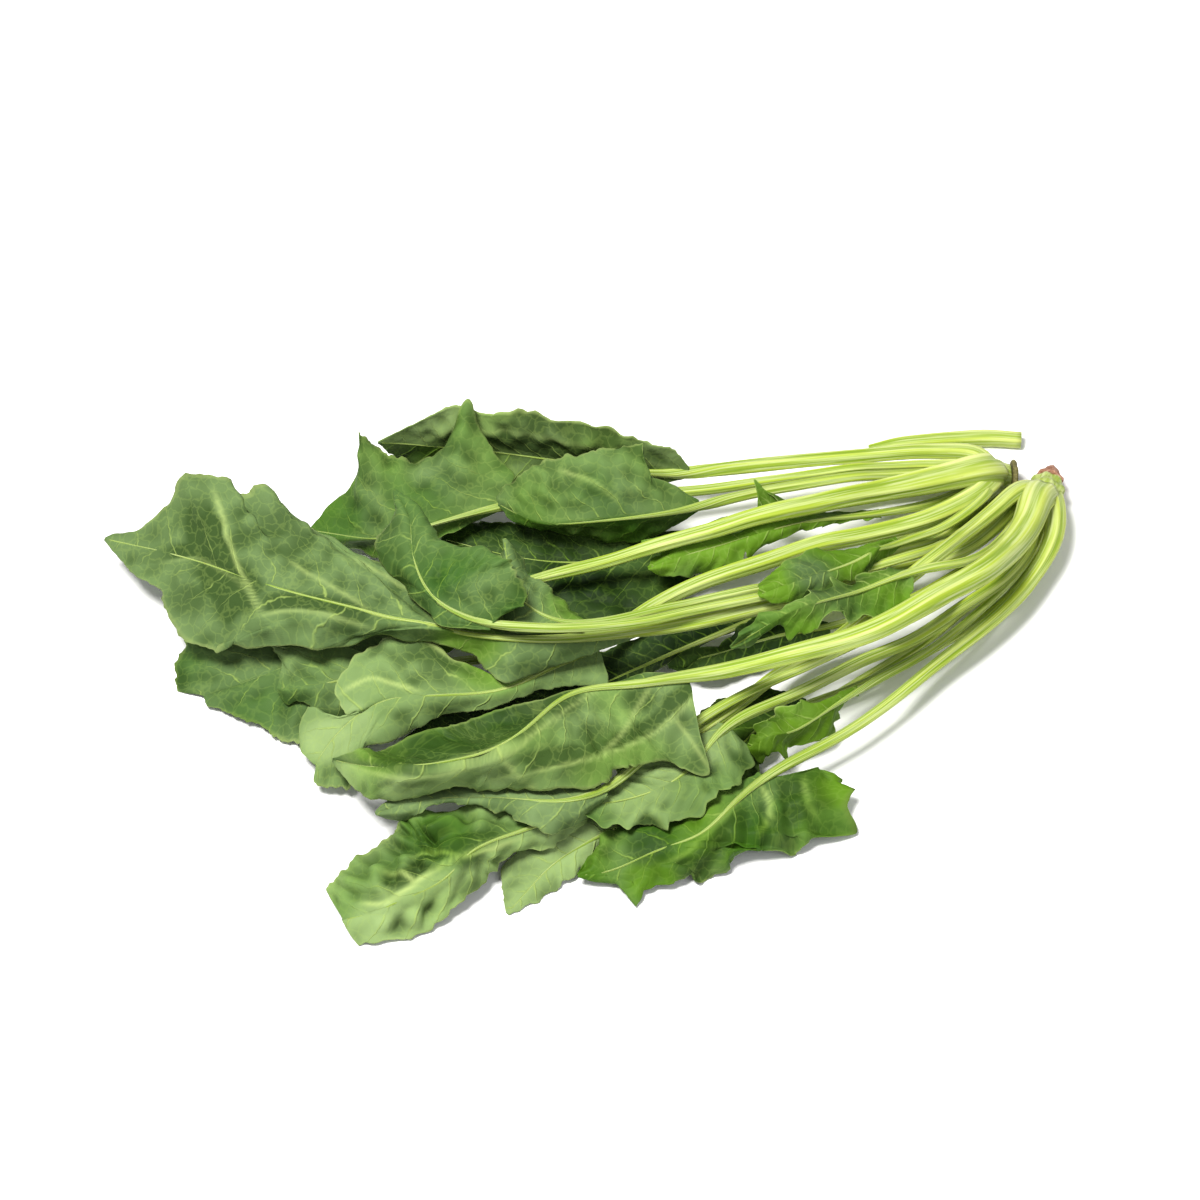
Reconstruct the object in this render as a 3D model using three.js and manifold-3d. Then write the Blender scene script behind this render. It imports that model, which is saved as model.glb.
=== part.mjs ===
// A bunch of fresh spinach lying on a table: two plants side by side, their root ends at the
// right (+X), their leaves fanned out to the left (-X) and towards the viewer (-Y). +Z is up.
// Each leaf is a ribbed stalk and a blade. The blade is a thin sheet spread between its midrib
// and its two wavy edges. The feet of a plant's stalks are grown together into its crown.
import * as THREE from "three";
import Module from "manifold-3d";

// Sizes in millimetres
const BLADE_THICKNESS = 0.9;
const RIB_HEIGHT = 1.5; // how far the midrib stands out of the blade at its foot
const RIB_TIP_SHARE = 0.2; // what is left of that height at the tip
const FOOT_WIDTH = 3.4; // width of the blade where the stalk ends
const TIP_WIDTH = 1.2;
const END_SHARE = 0.1; // of the blade's length: how it lies there sets how its two ends lie
const SHEATH_LENGTH = 24; // length of stalk that is grown into the crown
const JOINT_GAP = 0.5; // between crown and stalk, and between stalk and blade
const STALK_END_GAP = 1.1;
const STALK_FLATNESS = 0.82; // thickness of a stalk over its width
const GROOVE_DEPTH = 0.16; // depth of the groove along a stalk, over its half width
const WAVE_LENGTH = 26; // of the waves along a leaf's edge
const LEAF_CLEARANCE = 0.8; // air between a leaf and what lies under it
const LIFT_SLOPE = 0.35; // steepest slope of the rise by which one leaf is carried over another
const CROWDED = 22; // beyond the sheaths, where the stalks lie side by side and aren't raised
const SLIDE = 0.6; // how far a raised leaf slides forward, over its rise
const CELL = 2; // side of the squares in which the height of the pile is kept
const PILE = { left: -330, right: 50, front: -260, back: 60 };
const CROWN_LENGTH = 11;
const CROWN_RADIUS = 7;
const CROWN_HEIGHT = 5.8; // of its middle over the table, less than its radius: a small flat
const ROOT_RADIUS = 5.4;

const BLADE_COLUMNS = 3; // squares between the midrib and an edge
const FEWEST_ROWS = 11; // of points along a blade; otherwise one row for each point of its edge
const STALK_SIDES = 10;
const STALK_STEP = 11; // length of stalk between two rings

// Where each plant's crown sits, and the way it points from its root to its leaves
const PLANTS = {
  1: {
    crown: [0, 0, CROWN_HEIGHT],
    leafward: [-1, 0, 0.05],
    root: [[5.6, 0], [5.2, 1.6]], // radius and distance beyond the crown, cut off square
  },
  2: {
    crown: [16.5, -6.5, CROWN_HEIGHT],
    leafward: [-0.3, -1, 0.05],
    root: [[4.6, 0], [3.6, 2.2], [2.3, 4.6], [1, 6.6]], // a broken-off taproot
  },
};

// One entry for each leaf, from the lowest to the topmost. stalk: places along the middle of the
// stalk and its width there. rib: along the midrib, from the stalk to the tip. back and front:
// along the two edges of the blade. dome: how far the blade bulges up on its back and front half.
// wave: height of the waves along the edges.
const LEAVES = [
  // Small dark leaf under the back leaves
  {
    name: "small_dark",
    plant: 1,
    stalk: [
      [-3, 2, 4, 3], [-21, -3, 5, 2.8], [-48, -10, 6, 2.8], [-78, -20, 7, 2.8],
      [-98, -26, 7, 2.8],
    ],
    rib: [
      [-98, -26, 7], [-114, -33, 7], [-134, -39, 8], [-156, -37, 8], [-182, -27, 6],
    ],
    back: [
      [-101, -24, 9], [-121, -27, 10], [-134, -28, 12], [-150, -24, 11], [-169, -21, 9],
      [-179, -22, 7], [-182, -27, 6],
    ],
    front: [
      [-98, -31, 6], [-101, -48, 5], [-113, -60, 4], [-130, -64, 3], [-148, -57, 3],
      [-166, -47, 4], [-177, -35, 5], [-182, -27, 6],
    ],
    dome: [1, 1],
    wave: 0.4,
    tone: "dark",
  },
  // Long leaf standing on edge along the back
  {
    name: "back_long",
    plant: 1,
    stalk: [
      [-3, 7, 9, 5.1], [-21, 8, 10, 5.1], [-44, 5, 11, 5.1], [-78, -1, 13, 5.1],
      [-101, -7, 16, 4.8],
    ],
    rib: [
      [-101, -7, 16], [-117, -5, 15], [-141, -1, 15], [-169, 4, 15], [-190, 4, 18],
      [-203, 1, 22],
    ],
    back: [
      [-99, -6, 19], [-106, -5, 25], [-117, -4, 29], [-145, 1, 32], [-172, 6, 34],
      [-179, 6, 34], [-189, 3, 30], [-203, 1, 22],
    ],
    front: [
      [-104, -7, 8], [-130, -10, 6], [-157, -8, 6], [-180, -2, 7], [-196, 2, 12],
      [-203, 1, 22],
    ],
    dome: [-2, -1],
    wave: 0.8,
    tone: "dark",
  },
  // Lobed leaf at the back left
  {
    name: "back_lobed",
    plant: 1,
    stalk: [
      [-3, 2, 9, 3.4], [-21, 3, 9, 3.4], [-44, 0, 10, 3.4], [-71, -7, 13, 3.4],
      [-98, -13, 14, 3.7], [-130, -18, 16, 3.4], [-163, -24, 19, 3.4],
    ],
    rib: [
      [-163, -24, 19], [-184, -32, 19], [-201, -34, 14], [-225, -25, 8],
    ],
    back: [
      [-161, -20, 20], [-158, -14, 22], [-167, -3, 26], [-173, 7, 34], [-179, 1, 28],
      [-184, -5, 24], [-190, -7, 22], [-197, -7, 24], [-203, -5, 28], [-209, -3, 32],
      [-209, -12, 20], [-219, -19, 12], [-225, -25, 8],
    ],
    front: [
      [-166, -26, 15], [-182, -31, 10], [-195, -35, 7], [-213, -31, 4], [-223, -29, 5],
      [-225, -25, 8],
    ],
    dome: [2, 1.5],
    wave: 0.8,
    tone: "sage",
  },
  // Folded leaf at the back, middle
  {
    name: "back_folded",
    plant: 1,
    stalk: [
      [-3, -1, 8, 3.4], [-21, -1, 9, 3.4], [-45, -5, 10.5, 3.4], [-72, -14, 16, 3.7],
      [-98, -25, 20, 3.7],
    ],
    rib: [
      [-98, -25, 20], [-111, -32, 24], [-132, -37, 26], [-149, -36, 24], [-163, -26, 22],
    ],
    back: [
      [-99, -22, 22], [-106, -23, 27], [-116, -21, 33], [-116, -13, 37], [-124, -14, 37],
      [-132, -15, 35], [-145, -16, 33], [-151, -17, 31], [-161, -21, 26], [-164, -24, 23],
      [-163, -26, 22],
    ],
    front: [
      [-101, -28, 16], [-111, -31, 13], [-124, -33, 11], [-134, -33, 12], [-149, -32, 16],
      [-158, -31, 19], [-163, -26, 22],
    ],
    dome: [3, -1],
    wave: 0.6,
    tone: "sage",
  },
  // Small pointed leaf behind the widest stalk
  {
    name: "small_pointed",
    plant: 1,
    stalk: [
      [-3, -1, 11, 3.2], [-22, -7, 12, 3], [-44, -15, 15, 3],
    ],
    rib: [
      [-44, -15, 15], [-65, -23, 18], [-81, -29, 19], [-97, -34, 19], [-117, -39, 18],
    ],
    back: [
      [-46, -14, 16], [-58, -21, 18.5], [-70, -27, 20], [-76, -23, 23], [-81, -20, 27],
      [-78, -28, 21], [-83, -28, 20], [-88, -29, 20], [-97, -32, 19], [-106, -36, 19],
      [-117, -39, 18],
    ],
    front: [
      [-49, -19, 14], [-72, -28, 16], [-98, -40, 16], [-117, -39, 18],
    ],
    dome: [0.5, 0.5],
    wave: 0.4,
    tone: "sage",
  },
  // Small curly leaf between two stalks
  {
    name: "small_curly",
    plant: 1,
    stalk: [
      [-3, -3, 8, 3.2], [-19, -14, 10, 3], [-39, -22, 12, 3],
    ],
    rib: [
      [-39, -22, 12], [-66, -29, 13], [-85, -35, 12], [-101, -40, 11], [-115, -45, 10],
    ],
    back: [
      [-42, -18, 12], [-65, -23, 12], [-91, -32, 12], [-108, -36, 11], [-115, -45, 10],
    ],
    front: [
      [-39, -25, 11], [-56, -28, 11], [-74, -34, 11], [-82, -39, 8], [-84, -38, 10],
      [-87, -43, 9], [-98, -45, 7], [-109, -45, 7], [-115, -45, 10],
    ],
    dome: [0.5, 1.5],
    wave: 1,
    tone: "sage",
  },
  // Low leaf at the far left, on the widest stalk
  {
    name: "left_low",
    plant: 1,
    stalk: [
      [-4, -5, 16, 9.8], [-19, -11, 18, 9.2], [-33, -16, 19, 8], [-49, -22, 20, 7.1],
      [-66, -28, 20, 6.9], [-89, -35, 19, 5.8], [-118, -44, 18, 4.8], [-149, -51, 15, 4.1],
    ],
    rib: [
      [-149, -51, 15], [-181, -63, 12], [-214, -75, 10], [-231, -83, 8], [-244, -87, 5],
      [-255, -89, 1.5],
    ],
    back: [
      [-156, -44, 13], [-194, -52, 10], [-226, -55, 9], [-249, -58, 7], [-262, -70, 5],
      [-265, -78, 2], [-264, -86, 0.6], [-255, -89, 1.5],
    ],
    front: [
      [-153, -56, 10], [-181, -79, 8], [-208, -106, 4], [-228, -107, 2], [-237, -101, 2],
      [-248, -95, 2], [-253, -93, 1.5], [-255, -89, 1.5],
    ],
    dome: [2, 2],
    wave: 0.6,
    tone: "sage",
  },
  // Leaf tucked in at the left
  {
    name: "left_tucked",
    plant: 1,
    stalk: [
      [-3, -9, 5, 3.7], [-19, -19, 6, 3.4], [-39, -33, 7, 3.4], [-66, -48, 8, 3.4],
      [-98, -61, 8, 3.4], [-143, -75, 9, 3.4], [-187, -84, 10, 3.4],
    ],
    rib: [
      [-187, -84, 10], [-199, -87, 12], [-211, -91, 12], [-224, -93, 10], [-231, -91, 8],
    ],
    back: [
      [-188, -80, 11], [-209, -79, 13], [-225, -79, 13], [-234, -76, 11], [-232, -79, 10],
      [-230, -82, 9], [-231, -91, 8],
    ],
    front: [
      [-187, -92, 9], [-196, -101, 7], [-207, -100, 5], [-209, -102, 5], [-217, -101, 4],
      [-221, -96, 6], [-228, -95, 6], [-231, -91, 8],
    ],
    dome: [1, 1],
    wave: 0.5,
    tone: "sage",
  },
  // Dark leaf under the long middle stalk
  {
    name: "dark_under",
    plant: 1,
    stalk: [
      [-3, -7, 2.5, 3.4], [-23, -28, 4, 3.2], [-50, -50, 8, 3.2], [-79, -62, 8, 3.2],
    ],
    rib: [
      [-79, -62, 8], [-108, -77, 8], [-140, -95, 8], [-171, -108, 7], [-194, -113, 6],
    ],
    back: [
      [-82, -59, 9], [-99, -64, 10], [-124, -73, 10], [-149, -85, 9], [-177, -97, 8],
      [-194, -113, 6],
    ],
    front: [
      [-79, -65, 8], [-88, -68, 8], [-103, -76, 7], [-118, -87, 6], [-140, -105, 5],
      [-167, -117, 5], [-194, -113, 6],
    ],
    dome: [1, 0.5],
    wave: 0.6,
    tone: "dark",
  },
  // Pale-backed leaf in the middle of the left side
  {
    name: "left_pale",
    plant: 1,
    stalk: [
      [-5, -13, 14, 6.9], [-23, -27, 17, 6.4], [-47, -37, 19, 6.2], [-60, -41, 20, 6.2],
      [-76, -48, 20, 5.8], [-101, -58, 19, 5.1], [-118, -69, 18, 4.6], [-131, -83, 19, 4.4],
    ],
    rib: [
      [-131, -83, 19], [-146, -93, 21], [-161, -103, 22], [-184, -105, 22], [-198, -104, 18],
      [-210, -110, 12], [-218, -120, 7],
    ],
    back: [
      [-133, -82, 20], [-139, -85, 21], [-145, -89, 21], [-153, -95, 22], [-160, -101, 23],
      [-165, -98, 23], [-175, -91, 24], [-182, -85, 24], [-187, -82, 24], [-200, -83, 22],
      [-207, -89, 20], [-212, -100, 16], [-207, -107, 14], [-216, -106, 11], [-220, -100, 10],
      [-223, -105, 8], [-223, -113, 6], [-218, -120, 7],
    ],
    front: [
      [-128, -85, 18], [-128, -95, 16], [-143, -97, 17], [-161, -105, 19], [-174, -108, 17],
      [-190, -113, 14], [-204, -119, 12], [-207, -127, 6], [-212, -127, 5], [-218, -125, 5],
      [-218, -120, 7],
    ],
    dome: [1.5, 1.5],
    wave: 0.8,
    tone: "pale",
  },
  // Dark leaf under the small dull one
  {
    name: "dark_small",
    plant: 2,
    stalk: [
      [9, -19, 6, 3.2], [0, -29, 4, 3], [-14, -40, 5, 3], [-34, -56, 8, 3], [-57, -66, 8, 3],
    ],
    rib: [
      [-57, -66, 8], [-73, -70, 9], [-89, -76, 9], [-109, -81, 6],
    ],
    back: [
      [-57, -62, 10], [-78, -64, 13], [-85, -68, 13], [-93, -76, 10], [-98, -77, 11],
      [-102, -77, 11], [-109, -81, 6],
    ],
    front: [
      [-61, -70, 7], [-80, -80, 6], [-99, -85, 5], [-109, -81, 6],
    ],
    dome: [0.5, 0.5],
    wave: 0.4,
    tone: "dark",
  },
  // Largest leaf, on top at the left
  {
    name: "left_large",
    plant: 2,
    stalk: [
      [7, -13, 9, 4.4], [0, -22, 9, 4.4], [-10, -34, 11, 4.6], [-24, -44, 14, 4.8],
      [-40, -53, 18, 5.3], [-56, -61, 21, 5.5], [-81, -71, 24, 5.5], [-99, -79, 27, 5.3],
      [-118, -85, 29, 5.1],
    ],
    rib: [
      [-118, -85, 29], [-143, -90, 31], [-164, -90, 32], [-186, -85, 32], [-211, -77, 32],
      [-235, -67, 30], [-260, -51, 24], [-290, -34, 14],
    ],
    back: [
      [-121, -81, 29], [-143, -81, 30], [-168, -73, 30], [-193, -60, 31], [-211, -55, 31],
      [-221, -46, 32], [-227, -43, 32], [-232, -36, 34], [-238, -31, 37], [-244, -34, 34],
      [-248, -33, 34], [-250, -28, 36], [-262, -26, 35], [-267, -31, 29], [-275, -34, 22],
      [-279, -34, 18], [-286, -33, 16], [-290, -34, 14],
    ],
    front: [
      [-123, -90, 28], [-130, -90, 26], [-143, -95, 24], [-160, -101, 23], [-170, -91, 25],
      [-180, -86, 25], [-199, -85, 25], [-214, -85, 22], [-233, -83, 20], [-248, -82, 18],
      [-249, -83, 16], [-256, -80, 16], [-260, -77, 15], [-266, -67, 14], [-270, -56, 14],
      [-279, -49, 13], [-285, -41, 13], [-290, -34, 14],
    ],
    dome: [1.5, 3],
    wave: 0.8,
    tone: "sage",
  },
  // Upright lobed leaf over the largest one
  {
    name: "left_upright",
    plant: 1,
    stalk: [
      [-4, -12, 6, 3.7], [-14, -22, 7, 3.4], [-23, -32, 9, 3.4], [-40, -42, 14, 3.4],
      [-57, -53, 19, 3.4], [-80, -64, 24, 3.4], [-99, -72, 28, 3.4], [-118, -80, 30, 3.4],
      [-135, -86, 32, 3.4],
    ],
    rib: [
      [-135, -86, 32], [-143, -85, 33], [-151, -82, 35], [-157, -76, 38], [-159, -68, 41],
      [-160, -60, 44],
    ],
    back: [
      [-134, -82, 32], [-138, -79, 32], [-145, -72, 34], [-151, -70, 37], [-155, -64, 41],
      [-160, -60, 44],
    ],
    front: [
      [-143, -90, 31], [-158, -88, 32], [-167, -83, 34], [-164, -68, 38], [-161, -62, 42],
      [-160, -60, 44],
    ],
    dome: [1.5, 1],
    wave: 0.6,
    tone: "sage",
  },
  // Topmost leaf, with a folded ridge
  {
    name: "left_top",
    plant: 1,
    stalk: [
      [-4, -17, 6, 3.2], [-15, -29, 9, 3.2], [-23, -37, 10, 3.2], [-41, -48, 15, 3.2],
      [-57, -57, 19, 3.2], [-80, -68, 24, 3.2], [-99, -76, 28, 3.2], [-118, -84, 31, 3.2],
      [-143, -89, 34, 3.2], [-163, -89, 36, 3.2],
    ],
    rib: [
      [-163, -89, 36], [-172, -86, 37], [-182, -80, 39], [-188, -66, 41], [-190, -50, 42],
      [-195, -39, 43],
    ],
    back: [
      [-160, -90, 43], [-154, -88, 44], [-153, -81, 42], [-157, -69, 39], [-163, -64, 40],
      [-172, -63, 41], [-179, -61, 42], [-182, -54, 42], [-187, -46, 43], [-195, -39, 43],
    ],
    front: [
      [-167, -90, 34], [-180, -87, 34], [-192, -73, 35], [-202, -58, 37], [-196, -47, 40],
      [-195, -44, 42], [-195, -39, 43],
    ],
    dome: [3, 1.5],
    wave: 0.8,
    tone: "sage",
  },
  // Small round-tipped leaf across the middle stalks
  {
    name: "small_round",
    plant: 1,
    stalk: [
      [-5, -18, 17, 3], [-21, -35, 20, 3], [-35, -43, 22, 3],
    ],
    rib: [
      [-35, -43, 22], [-48, -54, 26], [-63, -62, 27], [-81, -68, 24],
    ],
    back: [
      [-39, -42, 23], [-53, -51, 27], [-70, -57, 28], [-77, -61, 27], [-81, -64, 25],
      [-81, -68, 24],
    ],
    front: [
      [-38, -47, 21], [-47, -57, 23], [-56, -63, 23], [-68, -69, 22], [-75, -70, 22],
      [-81, -68, 24],
    ],
    dome: [1.5, 1],
    wave: 1,
    tone: "sage",
  },
  // Pale low leaf at the front
  {
    name: "front_low",
    plant: 2,
    stalk: [
      [14, -17, 4, 3.2], [3, -34, 4, 3.2], [-22, -64, 4, 3.2], [-58, -92, 4, 3.2],
      [-87, -116, 4, 3.2], [-118, -138, 5, 3.2],
    ],
    rib: [
      [-118, -138, 5], [-133, -148, 6], [-145, -156, 4], [-158, -171, 0.6],
    ],
    back: [
      [-121, -136, 6], [-133, -140, 8], [-148, -145, 8], [-156, -152, 6], [-159, -155, 4],
      [-160, -161, 2], [-158, -171, 0.6],
    ],
    front: [
      [-121, -141, 4], [-125, -143, 3], [-130, -149, 2], [-138, -158, 1.5], [-147, -165, 1],
      [-158, -171, 0.6],
    ],
    dome: [1.5, 1],
    wave: 0.6,
    tone: "pale",
  },
  // Dark leaf in the shade of the thickest stalk
  {
    name: "front_dark",
    plant: 2,
    stalk: [
      [16, -16, 3, 3], [12, -32, 3, 3], [3, -47, 3, 3], [-14, -64, 4, 3], [-36, -80, 5, 3],
      [-52, -90, 6, 3], [-65, -96, 7, 3],
    ],
    rib: [
      [-65, -96, 7], [-77, -103, 8], [-86, -113, 9], [-93, -124, 9], [-96, -134, 8],
    ],
    back: [
      [-68, -93, 8], [-80, -91, 9], [-92, -96, 10], [-100, -108, 11], [-99, -121, 10],
      [-96, -134, 8],
    ],
    front: [
      [-64, -99, 6], [-73, -108, 6], [-79, -116, 7], [-84, -127, 7], [-89, -132, 7],
      [-96, -134, 8],
    ],
    dome: [1, 1],
    wave: 0.8,
    tone: "dark",
  },
  // Many-lobed leaf on the long outer stalk
  {
    name: "front_lobed",
    plant: 2,
    stalk: [
      [18, -14, 10, 6.3], [18, -24, 10, 6], [15, -35, 10, 5.5], [6, -51, 10, 5.1],
      [-5, -65, 11, 4.6], [-24, -83, 11, 3.9], [-50, -108, 12, 3.4], [-80, -128, 12, 3.4],
    ],
    rib: [
      [-80, -128, 12], [-91, -140, 12], [-100, -149, 10], [-115, -154, 8], [-127, -158, 4],
      [-137, -158, 1.5],
    ],
    back: [
      [-85, -127, 13], [-94, -132, 12], [-103, -136, 11], [-118, -141, 10], [-130, -149, 8],
      [-137, -158, 1.5],
    ],
    front: [
      [-77, -130, 11], [-69, -125, 10], [-62, -122, 8], [-55, -124, 5], [-59, -134, 6],
      [-54, -142, 1], [-63, -146, 4], [-70, -149, 1], [-80, -152, 5], [-84, -151, 6],
      [-95, -159, 1], [-101, -159, 4], [-113, -163, 2], [-121, -167, 0.6], [-120, -162, 4],
      [-130, -161, 1.5], [-137, -158, 1.5],
    ],
    dome: [1, 1],
    wave: 1,
    tone: "sage",
  },
  // Crinkled leaf at the front left
  {
    name: "front_crinkled",
    plant: 2,
    stalk: [
      [8, -11, 13, 5.3], [-4, -25, 16, 4.8], [-23, -46, 18, 4.8], [-35, -56, 15, 4.8],
      [-51, -69, 10, 4.6], [-74, -86, 9, 4.4], [-90, -102, 10, 4.1], [-112, -120, 9, 3.9],
      [-130, -135, 9, 3.7],
    ],
    rib: [
      [-130, -135, 9], [-152, -149, 13], [-169, -159, 16], [-176, -167, 13], [-189, -172, 9],
      [-199, -175, 6], [-207, -175, 3],
    ],
    back: [
      [-133, -132, 10], [-152, -137, 12], [-170, -140, 14], [-180, -143, 15], [-189, -143, 14],
      [-194, -148, 12], [-202, -154, 9], [-208, -160, 6], [-212, -164, 2], [-207, -175, 3],
    ],
    front: [
      [-130, -140, 8], [-140, -148, 7], [-148, -153, 6], [-156, -154, 8], [-163, -160, 7],
      [-168, -166, 5], [-177, -174, 3], [-184, -179, 1.5], [-193, -181, 1], [-202, -182, 0.6],
      [-207, -175, 3],
    ],
    dome: [2.5, 1],
    wave: 1.2,
    tone: "pale",
  },
  // Small toothed leaf at the front right
  {
    name: "small_toothed",
    plant: 2,
    stalk: [
      [14, -22, 5, 3], [8, -36, 6, 2.8], [-4, -54, 9, 2.8], [-27, -79, 12, 2.8],
      [-50, -96, 14, 2.8],
    ],
    rib: [
      [-50, -96, 14], [-63, -108, 16], [-74, -115, 13], [-85, -117, 9],
    ],
    back: [
      [-53, -95, 15], [-62, -103, 18], [-72, -107, 19], [-80, -112, 17], [-84, -114, 13],
      [-85, -117, 9],
    ],
    front: [
      [-51, -98, 12], [-57, -102, 12], [-56, -104, 9], [-65, -110, 8], [-72, -114, 6],
      [-80, -121, 6], [-85, -117, 9],
    ],
    dome: [0.5, 1],
    wave: 1,
    tone: "dark",
  },
  // Pale leaf with a torn edge
  {
    name: "torn_pale",
    plant: 2,
    stalk: [
      [12, -16, 9, 4.8], [8, -35, 12, 4.6], [0, -48, 12, 4.4], [-16, -63, 14, 4.4],
      [-33, -78, 16, 4.1], [-49, -87, 17, 4.1], [-68, -99, 17, 3.9], [-92, -111, 15, 3.7],
    ],
    rib: [
      [-92, -111, 15], [-100, -124, 15], [-109, -133, 14], [-121, -137, 12], [-138, -139, 9],
    ],
    back: [
      [-96, -115, 15], [-106, -119, 13], [-118, -124, 13], [-125, -127, 14], [-128, -133, 13],
      [-133, -135, 11], [-138, -139, 9],
    ],
    front: [
      [-88, -116, 14], [-83, -121, 11], [-88, -130, 11], [-95, -137, 14], [-99, -139, 11],
      [-101, -142, 9], [-115, -145, 9], [-130, -145, 8], [-138, -139, 9],
    ],
    dome: [0.5, 1],
    wave: 1.2,
    tone: "pale",
  },
  // Smooth grey-green leaf over the crinkled one
  {
    name: "grey_smooth",
    plant: 2,
    stalk: [
      [10, -17, 9, 3.2], [-1, -39, 10, 3.2], [-15, -54, 11, 3.2], [-35, -70, 12, 3.2],
      [-52, -79, 13, 3.2], [-81, -95, 13, 3.2], [-99, -108, 13, 3.2], [-115, -121, 13, 3.2],
      [-128, -136, 14, 3.2],
    ],
    rib: [
      [-128, -136, 14], [-142, -141, 15], [-160, -140, 16], [-179, -139, 14], [-198, -140, 8],
    ],
    back: [
      [-130, -129, 14], [-152, -126, 15], [-174, -127, 15], [-187, -132, 13], [-193, -136, 11],
      [-198, -140, 8],
    ],
    front: [
      [-127, -140, 13], [-137, -146, 11], [-145, -150, 10], [-153, -147, 12], [-162, -143, 15],
      [-172, -141, 15], [-180, -141, 13], [-189, -143, 8], [-198, -140, 8],
    ],
    dome: [1, 1],
    wave: 0.6,
    tone: "sage",
  },
  // Small dull leaf beside the thick stalk
  {
    name: "small_dull",
    plant: 2,
    stalk: [
      [9, -15, 7, 3.4], [1, -28, 8, 3.2], [-13, -45, 12, 3.2], [-33, -53, 15, 3.2],
    ],
    rib: [
      [-33, -53, 15], [-51, -64, 18], [-71, -73, 18], [-90, -81, 12],
    ],
    back: [
      [-38, -50, 16], [-48, -57, 19], [-62, -65, 20], [-75, -72, 18], [-85, -76, 14],
      [-90, -81, 12],
    ],
    front: [
      [-30, -59, 13], [-35, -67, 12], [-48, -71, 13], [-61, -71, 14], [-67, -74, 11],
      [-78, -75, 12], [-82, -79, 11], [-90, -81, 12],
    ],
    dome: [0.5, 0.5],
    wave: 1.2,
    tone: "sage",
  },
  // Large folded leaf at the front, on the thickest stalk
  {
    name: "front_large",
    plant: 2,
    stalk: [
      [12, -17, 15, 9.2], [6, -34, 18, 8.7], [-8, -54, 21, 8.3], [-26, -69, 24, 7.6],
      [-45, -84, 27, 6.9], [-60, -91, 28, 6.4], [-86, -99, 29, 5.5], [-103, -103, 29, 5.1],
    ],
    rib: [
      [-103, -103, 29], [-118, -108, 31], [-133, -112, 32], [-142, -117, 32], [-151, -127, 31],
      [-159, -133, 29], [-173, -136, 27], [-189, -135, 22], [-212, -122, 12],
    ],
    back: [
      [-106, -100, 29], [-118, -102, 28], [-143, -107, 26], [-176, -117, 23], [-197, -123, 17],
      [-212, -122, 12],
    ],
    front: [
      [-102, -107, 28], [-100, -121, 22], [-97, -130, 14], [-105, -130, 17], [-111, -128, 19],
      [-118, -130, 19], [-125, -131, 19], [-128, -134, 15], [-135, -136, 13], [-157, -137, 14],
      [-167, -136, 16], [-175, -136, 17], [-184, -138, 13], [-192, -138, 10], [-201, -135, 9],
      [-207, -129, 10], [-212, -122, 12],
    ],
    dome: [-4, 2],
    wave: 0.6,
    tone: "sage",
  },
];
const LOOSE_STALK = [
  [11, 20, 2.5, 5.8], [-1, 21, 2.5, 6.2], [-16, 20, 2.5, 5.8], [-30, 19, 2, 4.6],
  [-40, 17, 1.5, 3],
];

const UP = new THREE.Vector3(0, 0, 1);
const vec = (p) => new THREE.Vector3(p[0], p[1], p[2]);

// A smooth line through points, read at a share 0..1 that counts the points evenly.
function lineThrough(points) {
  const curve = new THREE.CatmullRomCurve3(points.map(vec), false, "catmullrom", 0.5);
  return (share) => curve.getPoint(Math.min(Math.max(share, 0), 1));
}

// Closes the space between two grids of points, an upper and a lower one. Both are split along
// the same diagonals, so that the sheet is equally thick everywhere.
function closedSheet(upper, lower) {
  const rows = upper.length;
  const columns = upper[0].length;
  const position = [...upper.flat(), ...lower.flat()].flatMap((p) => [p.x, p.y, p.z]);
  const top = (i, j) => i * columns + j;
  const under = (i, j) => rows * columns + i * columns + j;
  const index = [];
  for (let i = 0; i + 1 < rows; i++) {
    for (let j = 0; j + 1 < columns; j++) {
      index.push(top(i, j), top(i + 1, j), top(i + 1, j + 1));
      index.push(top(i, j), top(i + 1, j + 1), top(i, j + 1));
      index.push(under(i, j), under(i + 1, j + 1), under(i + 1, j));
      index.push(under(i, j), under(i, j + 1), under(i + 1, j + 1));
    }
  }
  const wall = (a, b, c, d) => index.push(a, b, c, a, c, d);
  for (let i = 0; i + 1 < rows; i++) {
    const j = columns - 1;
    wall(top(i, 0), under(i, 0), under(i + 1, 0), top(i + 1, 0));
    wall(top(i + 1, j), under(i + 1, j), under(i, j), top(i, j));
  }
  for (let j = 0; j + 1 < columns; j++) {
    const i = rows - 1;
    wall(top(0, j + 1), under(0, j + 1), under(0, j), top(0, j));
    wall(top(i, j), under(i, j), under(i, j + 1), top(i, j + 1));
  }
  return facingOut(position, index);
}

// Closes a row of rings, each a loop of points, with a fan at both ends.
function closedTube(rings) {
  const sides = rings[0].length;
  const position = rings.flat().flatMap((p) => [p.x, p.y, p.z]);
  const index = [];
  for (let i = 0; i + 1 < rings.length; i++) {
    for (let k = 0; k < sides; k++) {
      const next = (k + 1) % sides;
      const a = i * sides + k;
      const b = i * sides + next;
      index.push(a, b, b + sides, a, b + sides, a + sides);
    }
  }
  for (const [ring, forward] of [[0, false], [rings.length - 1, true]]) {
    const middle = rings[ring].reduce((sum, p) => sum.add(p), new THREE.Vector3());
    middle.divideScalar(sides);
    const centre = position.length / 3;
    position.push(middle.x, middle.y, middle.z);
    for (let k = 0; k < sides; k++) {
      const a = ring * sides + k;
      const b = ring * sides + ((k + 1) % sides);
      index.push(centre, forward ? a : b, forward ? b : a);
    }
  }
  return facingOut(position, index);
}

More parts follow.
